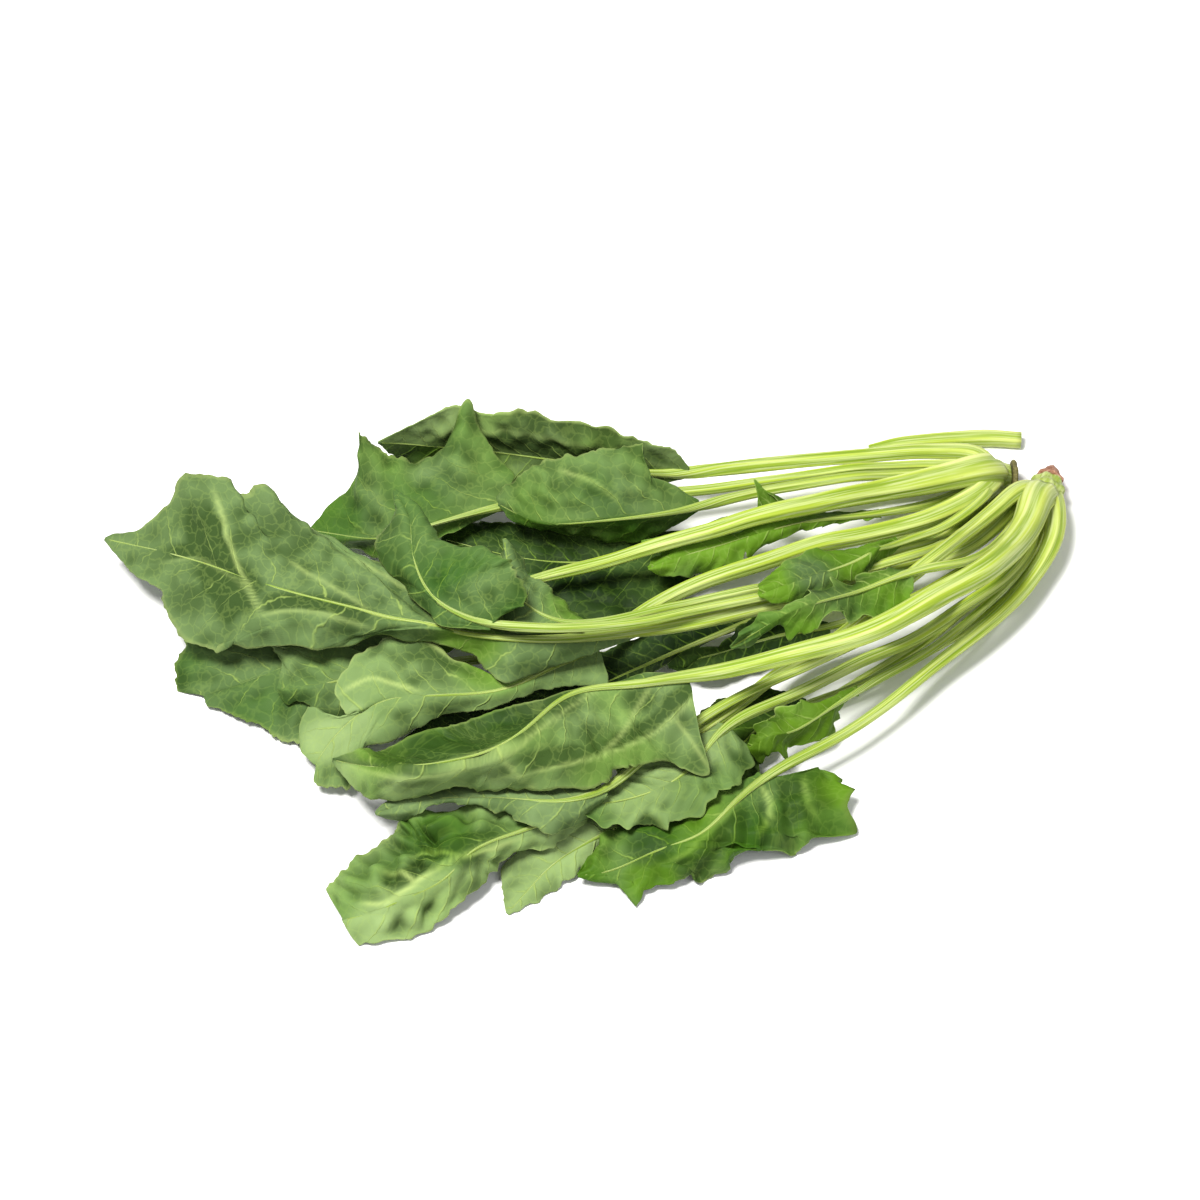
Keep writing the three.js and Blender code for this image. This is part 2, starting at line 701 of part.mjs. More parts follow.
function facingOut(position, index) {
  let volume = 0;
  const at = (i) => new THREE.Vector3().fromArray(position, 3 * i);
  for (let i = 0; i < index.length; i += 3) {
    volume += at(index[i]).dot(at(index[i + 1]).cross(at(index[i + 2])));
  }
  if (volume < 0) {
    for (let i = 0; i < index.length; i += 3) {
      [index[i + 1], index[i + 2]] = [index[i + 2], index[i + 1]];
    }
  }
  return { position, index };
}

// The cross-section of a stalk: an oval, flattened, with a groove along its upper face.
function stalkRing(centre, along, width, sides = STALK_SIDES) {
  const side = new THREE.Vector3().crossVectors(UP, along).normalize();
  const rise = new THREE.Vector3().crossVectors(along, side).normalize();
  return Array.from({ length: sides }, (_, k) => {
    const angle = (2 * Math.PI * (k + 0.25)) / sides;
    const groove = 1 - GROOVE_DEPTH * Math.max(0, Math.sin(angle)) * (k % 2);
    return centre
      .clone()
      .addScaledVector(side, (width / 2) * Math.cos(angle) * groove)
      .addScaledVector(rise, (width / 2) * STALK_FLATNESS * Math.sin(angle) * groove);
  });
}

// Rings along a stalk between two distances from its foot, both in millimetres.
function stalkRings(leaf, from, to) {
  const curve = new THREE.CatmullRomCurve3(leaf.stalk.map(vec), false, "centripetal");
  const length = curve.getLength();
  const end = Math.min(to, length - STALK_END_GAP);
  const steps = Math.max(2, Math.round((end - from) / STALK_STEP));
  return Array.from({ length: steps + 1 }, (_, i) => {
    const share = (from + ((end - from) * i) / steps) / length;
    const place = curve.getUtoTmapping(share) * (leaf.stalk.length - 1);
    const before = Math.min(Math.floor(place), leaf.stalk.length - 2);
    const width = THREE.MathUtils.lerp(
      leaf.stalk[before][3],
      leaf.stalk[before + 1][3],
      place - before,
    );
    return stalkRing(curve.getPointAt(share), curve.getTangentAt(share), width);
  });
}

// The direction across a sheet at each of its points: that of all the squares up to two steps
// away, each counted by its area, so that a small crumpled square doesn't turn it over.
function sheetNormals(grid) {
  const square = (i, j) => {
    const diagonal = grid[i + 1][j + 1].clone().sub(grid[i][j]);
    return diagonal.cross(grid[i][j + 1].clone().sub(grid[i + 1][j]));
  };
  return grid.map((row, i) =>
    row.map((_, j) => {
      const sum = new THREE.Vector3();
      for (let a = Math.max(i - 2, 0); a < Math.min(i + 2, grid.length - 1); a++) {
        for (let b = Math.max(j - 2, 0); b < Math.min(j + 2, row.length - 1); b++) {
          sum.add(square(a, b));
        }
      }
      return sum.normalize();
    }),
  );
}

// The blade: on each row a straight line from the midrib to each edge, bulged by the dome and
// raised and lowered towards the edge by the waves. The sheet's two faces stand half the
// thickness off it, and the upper one is thicker along the midrib.
function bladeSheet(leaf) {
  const rib = lineThrough(leaf.rib);
  const edges = [lineThrough(leaf.back), lineThrough(leaf.front)];
  const rows = Math.max(leaf.back.length, leaf.front.length, FEWEST_ROWS);
  const middle = [];
  for (let i = 0; i < rows; i++) {
    const share = i / (rows - 1);
    const spine = rib(share);
    const ahead = rib(share + 0.02).sub(rib(share - 0.02)).normalize();
    const inner = THREE.MathUtils.clamp(share, END_SHARE, 1 - END_SHARE);
    const side = edges[1](inner).sub(edges[0](inner));
    side.addScaledVector(ahead, -side.dot(ahead)).normalize();
    const row = [];
    for (let j = -BLADE_COLUMNS; j <= BLADE_COLUMNS; j++) {
      const out = Math.abs(j) / BLADE_COLUMNS;
      const half = j < 0 ? 0 : 1;
      const edge = edges[half](share);
      if (i === 0 || i === rows - 1) {
        const width = i === 0 ? FOOT_WIDTH : TIP_WIDTH;
        edge.copy(spine).addScaledVector(side, ((half ? 1 : -1) * width) / 2);
      }
      const point = spine.clone().lerp(edge, out);
      const open = Math.sin(Math.PI * share);
      const wave = Math.sin((2 * Math.PI * edge.distanceTo(vec(leaf.rib[0]))) / WAVE_LENGTH + half);
      point.z += leaf.dome[half] * 4 * out * (1 - out) * open;
      point.z += leaf.wave * wave * out * out * open;
      row.push(point);
    }
    middle.push(row);
  }
  middle[0].forEach((p) => p.addScaledVector(rib(0.05).sub(rib(0)).normalize(), JOINT_GAP));
  const normals = sheetNormals(middle);
  const face = (way) =>
    middle.map((row, i) =>
      row.map((p, j) => {
        const share = i / (rows - 1);
        const ridge = RIB_HEIGHT * (1 - (1 - RIB_TIP_SHARE) * share);
        const onRib = j === BLADE_COLUMNS && way > 0 ? ridge : 0;
        return p.clone().addScaledVector(normals[i][j], way * (BLADE_THICKNESS / 2 + onRib));
      }),
    );
  const upper = face(1);
  const lower = face(-1);
  return { upper, lower };
}

// Height of the pile so far over each square of the table.
const across = Math.ceil((PILE.right - PILE.left) / CELL);
const deep = Math.ceil((PILE.back - PILE.front) / CELL);
const cellOf = (x, y) => {
  const i = Math.min(Math.max(Math.floor((x - PILE.left) / CELL), 0), across - 1);
  const j = Math.min(Math.max(Math.floor((y - PILE.front) / CELL), 0), deep - 1);
  return j * across + i;
};

// Lowest and highest point of a piece over each square it covers.
function coverOf(meshes) {
  const low = new Float64Array(across * deep).fill(Infinity);
  const high = new Float64Array(across * deep).fill(-Infinity);
  const steps = 8;
  for (const { position, index } of meshes) {
    for (let f = 0; f < index.length; f += 3) {
      const [a, b, c] = [0, 1, 2].map((k) => index[f + k] * 3);
      for (let u = 0; u <= steps; u++) {
        for (let v = 0; u + v <= steps; v++) {
          const w = steps - u - v;
          const read = (k) =>
            (position[a + k] * u + position[b + k] * v + position[c + k] * w) / steps;
          const cell = cellOf(read(0), read(1));
          low[cell] = Math.min(low[cell], read(2));
          high[cell] = Math.max(high[cell], read(2));
        }
      }
    }
  }
  return { low, high };
}

// Carries the highest value outwards over the squares, falling by a slope, or not at all within
// a reach of one square where the slope is zero.
function spread(field, slope, rounds) {
  let now = field;
  for (let round = 0; round < rounds; round++) {
    const next = now.slice();
    for (let j = 1; j + 1 < deep; j++) {
      for (let i = 1; i + 1 < across; i++) {
        const at = j * across + i;
        const straight = Math.max(now[at - 1], now[at + 1], now[at - across], now[at + across]);
        next[at] = Math.max(now[at], straight - slope * CELL);
      }
    }
    now = next;
  }
  return now;
}

function averaged(field, rounds) {
  let now = field;
  for (let round = 0; round < rounds; round++) {
    const next = now.slice();
    for (let j = 1; j + 1 < deep; j++) {
      for (let i = 1; i + 1 < across; i++) {
        const at = j * across + i;
        const straight = now[at - 1] + now[at + 1] + now[at - across] + now[at + across];
        next[at] = (now[at] + straight) / 5;
      }
    }
    now = next;
  }
  return now;
}

const pile = new Float64Array(across * deep);

// Lays one leaf on the pile: where it would run into what lies under it, it is raised by a
// smooth rise, and slides forward by a share of the first rise. The rise starts beyond the
// sheath, so that the stalk's foot stays in its crown.
function layOnPile(leaf, points, meshesOf) {
  const crown = PLANTS[leaf.plant].crown;
  for (let round = 0; round < 4; round++) {
    const { low } = coverOf(meshesOf());
    const need = pile.map((height, at) => {
      if (low[at] === Infinity) return 0;
      const x = PILE.left + ((at % across) + 0.5) * CELL;
      const y = PILE.front + (Math.floor(at / across) + 0.5) * CELL;
      const nearCrown = Math.hypot(x - crown[0], y - crown[1]) < SHEATH_LENGTH + CROWDED;
      if (nearCrown) return 0;
      return Math.max(0, height > 0 ? height + LEAF_CLEARANCE - low[at] : -low[at]);
    });
    const lift = averaged(spread(spread(need, 0, 2), LIFT_SLOPE, 30), 2);
    for (const p of points) {
      const reach = Math.hypot(p.x - crown[0], p.y - crown[1]);
      const free = THREE.MathUtils.smoothstep(reach, SHEATH_LENGTH, SHEATH_LENGTH + CROWDED);
      const height = liftAt(lift, p.x, p.y) * free;
      p.z += height;
      if (round === 0) p.y -= height * SLIDE;
    }
  }
  const { high } = coverOf(meshesOf());
  high.forEach((height, at) => (pile[at] = Math.max(pile[at], height)));
}

// The lift between the middles of the four squares round a place.
function liftAt(lift, x, y) {
  const i = (x - PILE.left) / CELL - 0.5;
  const j = (y - PILE.front) / CELL - 0.5;
  const i0 = Math.floor(i);
  const j0 = Math.floor(j);
  const read = (a, b) => lift[(j0 + b) * across + i0 + a];
  const near = THREE.MathUtils.lerp(read(0, 0), read(1, 0), i - i0);
  const far = THREE.MathUtils.lerp(read(0, 1), read(1, 1), i - i0);
  return THREE.MathUtils.lerp(near, far, j - j0);
}

// A round body along an axis, from pairs of radius and distance, never below the table.
function turned(base, axis, profile, sides = 20) {
  const along = vec(axis).normalize();
  const side = new THREE.Vector3().crossVectors(UP, along).normalize();
  const rise = new THREE.Vector3().crossVectors(along, side).normalize();
  const rings = profile.map(([radius, distance]) =>
    Array.from({ length: sides }, (_, k) => {
      const angle = (2 * Math.PI * (k + 0.5)) / sides;
      const point = vec(base).addScaledVector(along, distance);
      point.addScaledVector(side, radius * Math.cos(angle));
      point.addScaledVector(rise, radius * Math.sin(angle));
      point.z = Math.max(point.z, 0);
      return point;
    }),
  );
  return closedTube(rings);
}

const wasm = await Module();
wasm.setup();

const solidOf = ({ position, index }) =>
  new wasm.Manifold(
    new wasm.Mesh({
      numProp: 3,
      vertProperties: new Float32Array(position),
      triVerts: new Uint32Array(index),
    }),
  );

function meshOf(name, { position, index }, color, roughness) {
  const geometry = new THREE.BufferGeometry();
  geometry.setAttribute("position", new THREE.Float32BufferAttribute(position, 3));
  geometry.setIndex([...index]);
  geometry.computeVertexNormals();
  const material = new THREE.MeshStandardMaterial({ color, roughness, metalness: 0 });
  const mesh = new THREE.Mesh(geometry, material);
  mesh.name = name;
  return mesh;
}

function meshOfSolid(name, solid, color, roughness) {
  const made = solid.getMesh();
  return meshOf(
    name,
    { position: [...made.vertProperties], index: [...made.triVerts] },
    color,
    roughness,
  );
}

const STALK_COLOR = 0xb4c966;
const CROWN_COLOR = 0xc3cf86;
const BLADE_COLORS = { sage: 0x7d9a62, dark: 0x3f5f24, pale: 0x9fb87c };
const ROOT_COLORS = { 1: 0x6b6538, 2: 0xb98a6c };

// Where a stalk is rooted in its crown, inside it.
function footInCrown(leaf) {
  const [x, y, z, width] = leaf.stalk[0];
  const inside = vec(PLANTS[leaf.plant].crown).lerp(new THREE.Vector3(x, y, z), 0.5);
  return [...inside.toArray(), width];
}

const bunch = new THREE.Group();
const sheaths = { 1: [], 2: [] };
for (const leaf of LEAVES) {
  leaf.stalk.unshift(footInCrown(leaf));
  const foot = stalkRings(leaf, 0, SHEATH_LENGTH);
  const stalk = stalkRings(leaf, SHEATH_LENGTH + JOINT_GAP, Infinity);
  const { upper, lower } = bladeSheet(leaf);
  const points = [foot, stalk, upper, lower].flat(2);
  const meshes = () => [closedTube(foot), closedTube(stalk), closedSheet(upper, lower)];
  layOnPile(leaf, points, meshes);
  for (const p of points) p.z = Math.max(p.z, 0);
  const [footMesh, stalkMesh, bladeMesh] = meshes();
  sheaths[leaf.plant].push(solidOf(footMesh));
  bunch.add(meshOf(leaf.name + "_stalk", stalkMesh, STALK_COLOR, 0.5));
  bunch.add(meshOf(leaf.name + "_blade", bladeMesh, BLADE_COLORS[leaf.tone], 0.7));
}

for (const [number, plant] of Object.entries(PLANTS)) {
  const half = CROWN_LENGTH / 2;
  const crown = turned(plant.crown, plant.leafward, [
    [ROOT_RADIUS, -half],
    [CROWN_RADIUS * 0.92, -half * 0.4],
    [CROWN_RADIUS, half * 0.2],
    [CROWN_RADIUS * 0.9, half],
  ]);
  const whole = wasm.Manifold.union([solidOf(crown), ...sheaths[number]]);
  bunch.add(meshOfSolid("plant_" + number + "_crown", whole, CROWN_COLOR, 0.5));
  const back = vec(plant.leafward).negate().toArray();
  const end = vec(plant.crown).addScaledVector(vec(plant.leafward).normalize(), -half - JOINT_GAP);
  const root = turned(end.toArray(), back, plant.root);
  bunch.add(meshOf("plant_" + number + "_root", root, ROOT_COLORS[number], 0.8));
}

const loose = { stalk: LOOSE_STALK };
const looseRings = stalkRings(loose, 0, Infinity);
for (const p of looseRings.flat()) p.z = Math.max(p.z, 0);
bunch.add(meshOf("loose_stalk", closedTube(looseRings), STALK_COLOR, 0.5));

export default bunch;
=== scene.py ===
"""A bunch of fresh spinach on a pale floor: two plants side by side and a loose cut stalk.

Each leaf is laid out as its solid is: a blade spread between its midrib and its two edges, and
a ribbed stalk. Here the same outlines are drawn with fine surfaces, and the leaves get their
veins, puckers, folds and thin toothed edges. Lengths in the tables are millimetres.
"""
import math

import bpy
import numpy as np
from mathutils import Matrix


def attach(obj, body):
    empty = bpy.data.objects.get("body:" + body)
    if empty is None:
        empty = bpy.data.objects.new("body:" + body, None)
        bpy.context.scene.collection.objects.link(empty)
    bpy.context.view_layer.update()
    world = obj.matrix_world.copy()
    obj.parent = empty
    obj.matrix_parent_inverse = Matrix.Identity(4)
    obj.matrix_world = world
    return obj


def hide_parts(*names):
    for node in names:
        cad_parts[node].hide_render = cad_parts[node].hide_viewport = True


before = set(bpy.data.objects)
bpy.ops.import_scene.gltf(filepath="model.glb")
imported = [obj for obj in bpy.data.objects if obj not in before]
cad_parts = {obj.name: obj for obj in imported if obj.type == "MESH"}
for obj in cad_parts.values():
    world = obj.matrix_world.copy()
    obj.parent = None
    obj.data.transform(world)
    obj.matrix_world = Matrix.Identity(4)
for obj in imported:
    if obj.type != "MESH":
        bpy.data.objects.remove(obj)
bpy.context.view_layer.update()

MM = 0.001
UP = np.array([0.0, 0.0, 1.0])
FULL_TURN = 2 * np.pi

# Sizes of the solids that the outlines below are read with
FOOT_WIDTH = 3.4
TIP_WIDTH = 1.2
END_SHARE = 0.1
SHEATH_LENGTH = 24
JOINT_GAP = 0.5
STALK_END_GAP = 1.1
STALK_FLATNESS = 0.82
STALK_STEP = 11
WAVE_LENGTH = 26
BLADE_THICKNESS = 0.9
RIB_HEIGHT = 1.5
RIB_TIP_SHARE = 0.2
BLADE_COLUMNS = 3
SLIDE = 0.6  # how far a raised point slides forward, over its rise
FEWEST_ROWS = 11
CROWN_HEIGHT = 5.8
CROWN_LENGTH = 11
CROWN_RADIUS = 7
ROOT_RADIUS = 5.4
CROWNS = {1: (0, 0, CROWN_HEIGHT), 2: (16.5, -6.5, CROWN_HEIGHT)}
LEAFWARD = {1: (-1, 0, 0.05), 2: (-0.3, -1, 0.05)}
ROOTS = {
    1: ((5.6, 0), (5.2, 1.6)),
    2: ((4.6, 0), (3.6, 2.2), (2.3, 4.6), (1, 6.6)),
}

# How the shift of the solids is found
MATCH = 0.012  # how far apart a point and its corner of the solid may be, along x
MISFIT = 3  # the most by which the rise and the slide of a corner may disagree
RING_SPARE = 2.5  # how much further off than its stalk's width, times 0.7, a ring's corner may be

# Fineness of the drawn surfaces
FINE_ROWS = 150
FINE_COLUMNS = 48
FINE_SHEET = 0.5  # thickness of the leaf that is drawn, about that of a real one
CRISP = 0.5  # how much of an edge is drawn straight between its places
ROUND_SIDES = 32
ROUND_STEP = 2.0
FLOOR_GAP = 0.05  # the lowest that a blade or a stalk comes
CROWN_FLOOR_GAP = 0.02  # the lowest that a crown or a root comes
SMOOTHINGS = 6  # rounds that even out the bend between a stalk and its midrib

# Waves in a blade: about how long they are, and how high or how strong
RIPPLE_COUNT = 9
VEIN_WANDER = (40, 0.12)
PUCKER_WAVES = (9, 0.6)
RUFFLE_LENGTH = 13
SWELLS = (45, 0.8)
COARSE_WEAR = (5, 0.35)
FINE_WEAR = (2.2, 0.15)
TEETH_LENGTH = 8
TEETH_DEEPEST = -0.7
UPPER_PATCHES = (30, 0.25)
FRESH_PATCHES = (35, 0.35)
EDGE_CALM = 0.75  # how much of the puckers is gone at the edge
EDGE_THINNING = 0.6  # how much of the sheet's thickness is gone at the edge
RIM_SHARE = (0.955, 0.99)  # between which shares across the blade its pale rim begins
RIM_PALENESS = 0.4
# How strongly the side of a fold turned away from the light is painted darker: painted shade
FOLD_SHADE = 1.1

# Veins, stalks and folds
VEIN_SPACING = 0.24  # distance between side veins over the width of their leaf
VEIN_SPACING_RANGE = (6, 14)
VEIN_SWEEP = 0.75  # how far forward a side vein goes for each step outwards
VEIN_BEND = 0.006
CREST_WIDTH = 0.8  # half the width of the pale line on a fold
MIDRIB_TIP = 0.55  # width of a midrib at the tip of its leaf
MIDRIB_STAND = 0.16  # how far a midrib's middle stands above the blade, over its width
MIDRIB_START = 0.8  # width of a midrib over the width of its stalk's end
SHEATH_SPREAD = 0.35  # how much wider than its stalk a foot is
SHEATH_FADE = 14  # how far from the foot that has mostly gone
STALK_RIBS = 0.06
LOOSE_STALK_RIBS = 0.04
CHANNEL_DEPTH = 0.22
CHANNEL_WIDTH = 0.5  # as an angle round the stalk
STALK_WAVES = (30, 0.02)
CROWN_WAVES = (4, 0.04)
CROWN_FLUTES = 0.025
ROOT_FLUTES = 0.06

CAMERA_PLACE = (-0.1303, -0.7402, 0.8250)
CAMERA_PITCH = 40
CAMERA_LENS = 100
EYE = np.array(CAMERA_PLACE) / MM
BUNCH_MIDDLE = (-0.13, -0.08, 0.02)
FLOOR_REACH = 3.0

# One entry for each leaf, from the lowest to the topmost:
# - name, plant, tone of its material
# - dome: how far the blade bulges up on its back and front half
# - wave: height of the waves along the edges
# - upper: how much of its back and front half shows the green upper side, not the grey-green underside
# - pucker: height of the bulges between its veins
# - ruffle: height of the small waves in its edge
# - teeth: how far the teeth of its edge stand out
# - pale: 0 for the greyest to 1 for the palest leaf
# - fresh: how much of it is bright yellow-green
# - stalk: places along the middle of the stalk, and its width there
# - rib: places along the midrib, from the stalk to the tip
# - back, front: places along the two edges of the blade
LEAF_KEYS = (
    "name", "plant", "tone", "dome", "wave", "upper", "pucker", "ruffle", "teeth", "pale", "fresh",
    "stalk", "rib", "back", "front",
)
LEAF_TABLE = (
    # Small leaf under the back leaves, coloured dark as painted shade
    ("small_dark", 1, "dark", (1, 1), 0.4, (0.9, 0.8), 0.5, 0.6, 0.3, 0, 0.1,
     ((-3, 2, 4, 3), (-21, -3, 5, 2.8), (-48, -10, 6, 2.8), (-78, -20, 7, 2.8), (-98, -26, 7, 2.8)),
     ((-98, -26, 7), (-114, -33, 7), (-134, -39, 8), (-156, -37, 8), (-182, -27, 6)),
     ((-101, -24, 9), (-121, -27, 10), (-134, -28, 12), (-150, -24, 11), (-169, -21, 9), (-179, -22, 7),
      (-182, -27, 6)),
     ((-98, -31, 6), (-101, -48, 5), (-113, -60, 4), (-130, -64, 3), (-148, -57, 3), (-166, -47, 4),
      (-177, -35, 5), (-182, -27, 6))),
    # Long leaf standing on edge along the back
    ("back_long", 1, "dark", (-2, -1), 0.8, (0, 0.8), 0.7, 0.5, 0.3, 0.8, 0.3,
     ((-3, 7, 9, 5.1), (-21, 8, 10, 5.1), (-44, 5, 11, 5.1), (-78, -1, 13, 5.1), (-101, -7, 16, 4.8)),
     ((-101, -7, 16), (-117, -5, 15), (-141, -1, 15), (-169, 4, 15), (-190, 4, 18), (-203, 1, 22)),
     ((-99, -6, 19), (-106, -5, 25), (-117, -4, 29), (-145, 1, 32), (-172, 6, 34), (-179, 6, 34),
      (-189, 3, 30), (-203, 1, 22)),
     ((-104, -7, 8), (-130, -10, 6), (-157, -8, 6), (-180, -2, 7), (-196, 2, 12), (-203, 1, 22))),
    # Lobed leaf at the back left
    ("back_lobed", 1, "sage", (2, 1.5), 0.8, (0.15, 0.35), 0.7, 0.8, 0.3, 0.15, 0.3,
     ((-3, 2, 9, 3.4), (-21, 3, 9, 3.4), (-44, 0, 10, 3.4), (-71, -7, 13, 3.4), (-98, -13, 14, 3.7),
      (-130, -18, 16, 3.4), (-163, -24, 19, 3.4)),
     ((-163, -24, 19), (-184, -32, 19), (-201, -34, 14), (-225, -25, 8)),
     ((-161, -20, 20), (-158, -14, 22), (-167, -3, 26), (-173, 7, 34), (-179, 1, 28), (-184, -5, 24),
      (-190, -7, 22), (-197, -7, 24), (-203, -5, 28), (-209, -3, 32), (-209, -12, 20), (-219, -19, 12),
      (-225, -25, 8)),
     ((-166, -26, 15), (-182, -31, 10), (-195, -35, 7), (-213, -31, 4), (-223, -29, 5), (-225, -25, 8))),
    # Folded leaf at the back, middle
    ("back_folded", 1, "sage", (3, -1), 0.6, (0.1, 0.6), 0.9, 0.6, 0.3, 0.15, 0.25,
     ((-3, -1, 8, 3.4), (-21, -1, 9, 3.4), (-45, -5, 10.5, 3.4), (-72, -14, 16, 3.7), (-98, -25, 20, 3.7)),
     ((-98, -25, 20), (-111, -32, 24), (-132, -37, 26), (-149, -36, 24), (-163, -26, 22)),
     ((-99, -22, 22), (-106, -23, 27), (-116, -21, 33), (-116, -13, 37), (-124, -14, 37), (-132, -15, 35),
      (-145, -16, 33), (-151, -17, 31), (-161, -21, 26), (-164, -24, 23), (-163, -26, 22)),
     ((-101, -28, 16), (-111, -31, 13), (-124, -33, 11), (-134, -33, 12), (-149, -32, 16), (-158, -31, 19),
      (-163, -26, 22))),
    # Small pointed leaf behind the widest stalk
    ("small_pointed", 1, "sage", (0.5, 0.5), 0.4, (0.2, 0.4), 0.3, 0.5, 0.3, 0.6, 0.9,
     ((-3, -1, 11, 3.2), (-22, -7, 12, 3), (-44, -15, 15, 3)),
     ((-44, -15, 15), (-65, -23, 18), (-81, -29, 19), (-97, -34, 19), (-117, -39, 18)),
     ((-46, -14, 16), (-58, -21, 18.5), (-70, -27, 20), (-76, -23, 23), (-81, -20, 27), (-78, -28, 21),
      (-83, -28, 20), (-88, -29, 20), (-97, -32, 19), (-106, -36, 19), (-117, -39, 18)),
     ((-49, -19, 14), (-72, -28, 16), (-98, -40, 16), (-117, -39, 18))),
    # Small curly leaf between two stalks
    ("small_curly", 1, "sage", (0.5, 1.5), 1, (0.45, 0.2), 0.7, 1.2, 1.2, 0.3, 1.4,
     ((-3, -3, 8, 3.2), (-19, -14, 10, 3), (-39, -22, 12, 3)),
     ((-39, -22, 12), (-66, -29, 13), (-85, -35, 12), (-101, -40, 11), (-115, -45, 10)),
     ((-42, -18, 12), (-65, -23, 12), (-91, -32, 12), (-108, -36, 11), (-115, -45, 10)),
     ((-39, -25, 11), (-56, -28, 11), (-74, -34, 11), (-82, -39, 8), (-84, -38, 10), (-87, -43, 9),
      (-98, -45, 7), (-109, -45, 7), (-115, -45, 10))),
    # Low leaf at the far left, on the widest stalk
    ("left_low", 1, "sage", (2, 2), 0.6, (0.25, 0.3), 0.5, 0.6, 0.3, 0.1, 0.05,
     ((-4, -5, 16, 9.8), (-19, -11, 18, 9.2), (-33, -16, 19, 8), (-49, -22, 20, 7.1), (-66, -28, 20, 6.9),
      (-89, -35, 19, 5.8), (-118, -44, 18, 4.8), (-149, -51, 15, 4.1)),
     ((-149, -51, 15), (-181, -63, 12), (-214, -75, 10), (-231, -83, 8), (-244, -87, 5), (-255, -89, 1.5)),
     ((-156, -44, 13), (-194, -52, 10), (-226, -55, 9), (-249, -58, 7), (-262, -70, 5), (-265, -78, 2),
      (-264, -86, 0.6), (-255, -89, 1.5)),
     ((-153, -56, 10), (-181, -79, 8), (-208, -106, 4), (-228, -107, 2), (-237, -101, 2), (-248, -95, 2),
      (-253, -93, 1.5), (-255, -89, 1.5))),
    # Leaf tucked in at the left
    ("left_tucked", 1, "sage", (1, 1), 0.5, (0.1, 0.15), 0.5, 0.5, 0.6, 0.3, 0.1,
     ((-3, -9, 5, 3.7), (-19, -19, 6, 3.4), (-39, -33, 7, 3.4), (-66, -48, 8, 3.4), (-98, -61, 8, 3.4),
      (-143, -75, 9, 3.4), (-187, -84, 10, 3.4)),
     ((-187, -84, 10), (-199, -87, 12), (-211, -91, 12), (-224, -93, 10), (-231, -91, 8)),
     ((-188, -80, 11), (-209, -79, 13), (-225, -79, 13), (-234, -76, 11), (-232, -79, 10), (-230, -82, 9),
      (-231, -91, 8)),
     ((-187, -92, 9), (-196, -101, 7), (-207, -100, 5), (-209, -102, 5), (-217, -101, 4), (-221, -96, 6),
      (-228, -95, 6), (-231, -91, 8))),
    # Leaf under the long middle stalk, coloured dark as painted shade
    ("dark_under", 1, "dark", (1, 0.5), 0.6, (0.9, 0.9), 0.5, 0.6, 0.3, 0, 0,
     ((-3, -7, 2.5, 3.4), (-23, -28, 4, 3.2), (-50, -50, 8, 3.2), (-79, -62, 8, 3.2)),
     ((-79, -62, 8), (-108, -77, 8), (-140, -95, 8), (-171, -108, 7), (-194, -113, 6)),
     ((-82, -59, 9), (-99, -64, 10), (-124, -73, 10), (-149, -85, 9), (-177, -97, 8), (-194, -113, 6)),
     ((-79, -65, 8), (-88, -68, 8), (-103, -76, 7), (-118, -87, 6), (-140, -105, 5), (-167, -117, 5),
      (-194, -113, 6))),
    # Pale-backed leaf in the middle of the left side
    ("left_pale", 1, "pale", (1.5, 1.5), 0.8, (0, 0), 0.4, 0.5, 0.3, 0.3, 0.05,
     ((-5, -13, 14, 6.9), (-23, -27, 17, 6.4), (-47, -37, 19, 6.2), (-60, -41, 20, 6.2),
      (-76, -48, 20, 5.8), (-101, -58, 19, 5.1), (-118, -69, 18, 4.6), (-131, -83, 19, 4.4)),
     ((-131, -83, 19), (-146, -93, 21), (-161, -103, 22), (-184, -105, 22), (-198, -104, 18),
      (-210, -110, 12), (-218, -120, 7)),
     ((-133, -82, 20), (-139, -85, 21), (-145, -89, 21), (-153, -95, 22), (-160, -101, 23), (-165, -98, 23),
      (-175, -91, 24), (-182, -85, 24), (-187, -82, 24), (-200, -83, 22), (-207, -89, 20), (-212, -100, 16),
      (-207, -107, 14), (-216, -106, 11), (-220, -100, 10), (-223, -105, 8), (-223, -113, 6),
      (-218, -120, 7)),
     ((-128, -85, 18), (-128, -95, 16), (-143, -97, 17), (-161, -105, 19), (-174, -108, 17),
      (-190, -113, 14), (-204, -119, 12), (-207, -127, 6), (-212, -127, 5), (-218, -125, 5),
      (-218, -120, 7))),
    # Leaf under the small dull one, coloured dark as painted shade
    ("dark_small", 2, "dark", (0.5, 0.5), 0.4, (0.9, 0.9), 0.5, 0.8, 0.3, 0, 0.1,
     ((9, -19, 6, 3.2), (0, -29, 4, 3), (-14, -40, 5, 3), (-34, -56, 8, 3), (-57, -66, 8, 3)),
     ((-57, -66, 8), (-73, -70, 9), (-89, -76, 9), (-109, -81, 6)),
     ((-57, -62, 10), (-78, -64, 13), (-85, -68, 13), (-93, -76, 10), (-98, -77, 11), (-102, -77, 11),
      (-109, -81, 6)),
     ((-61, -70, 7), (-80, -80, 6), (-99, -85, 5), (-109, -81, 6))),
    # Largest leaf, on top at the left
    ("left_large", 2, "sage", (1.5, 3), 0.8, (0, 0), 0.7, 0.5, 0.3, 0.2, 0.05,
     ((7, -13, 9, 4.4), (0, -22, 9, 4.4), (-10, -34, 11, 4.6), (-24, -44, 14, 4.8), (-40, -53, 18, 5.3),
      (-56, -61, 21, 5.5), (-81, -71, 24, 5.5), (-99, -79, 27, 5.3), (-118, -85, 29, 5.1)),
     ((-118, -85, 29), (-143, -90, 31), (-164, -90, 32), (-186, -85, 32), (-211, -77, 32), (-235, -67, 30),
      (-260, -51, 24), (-290, -34, 14)),
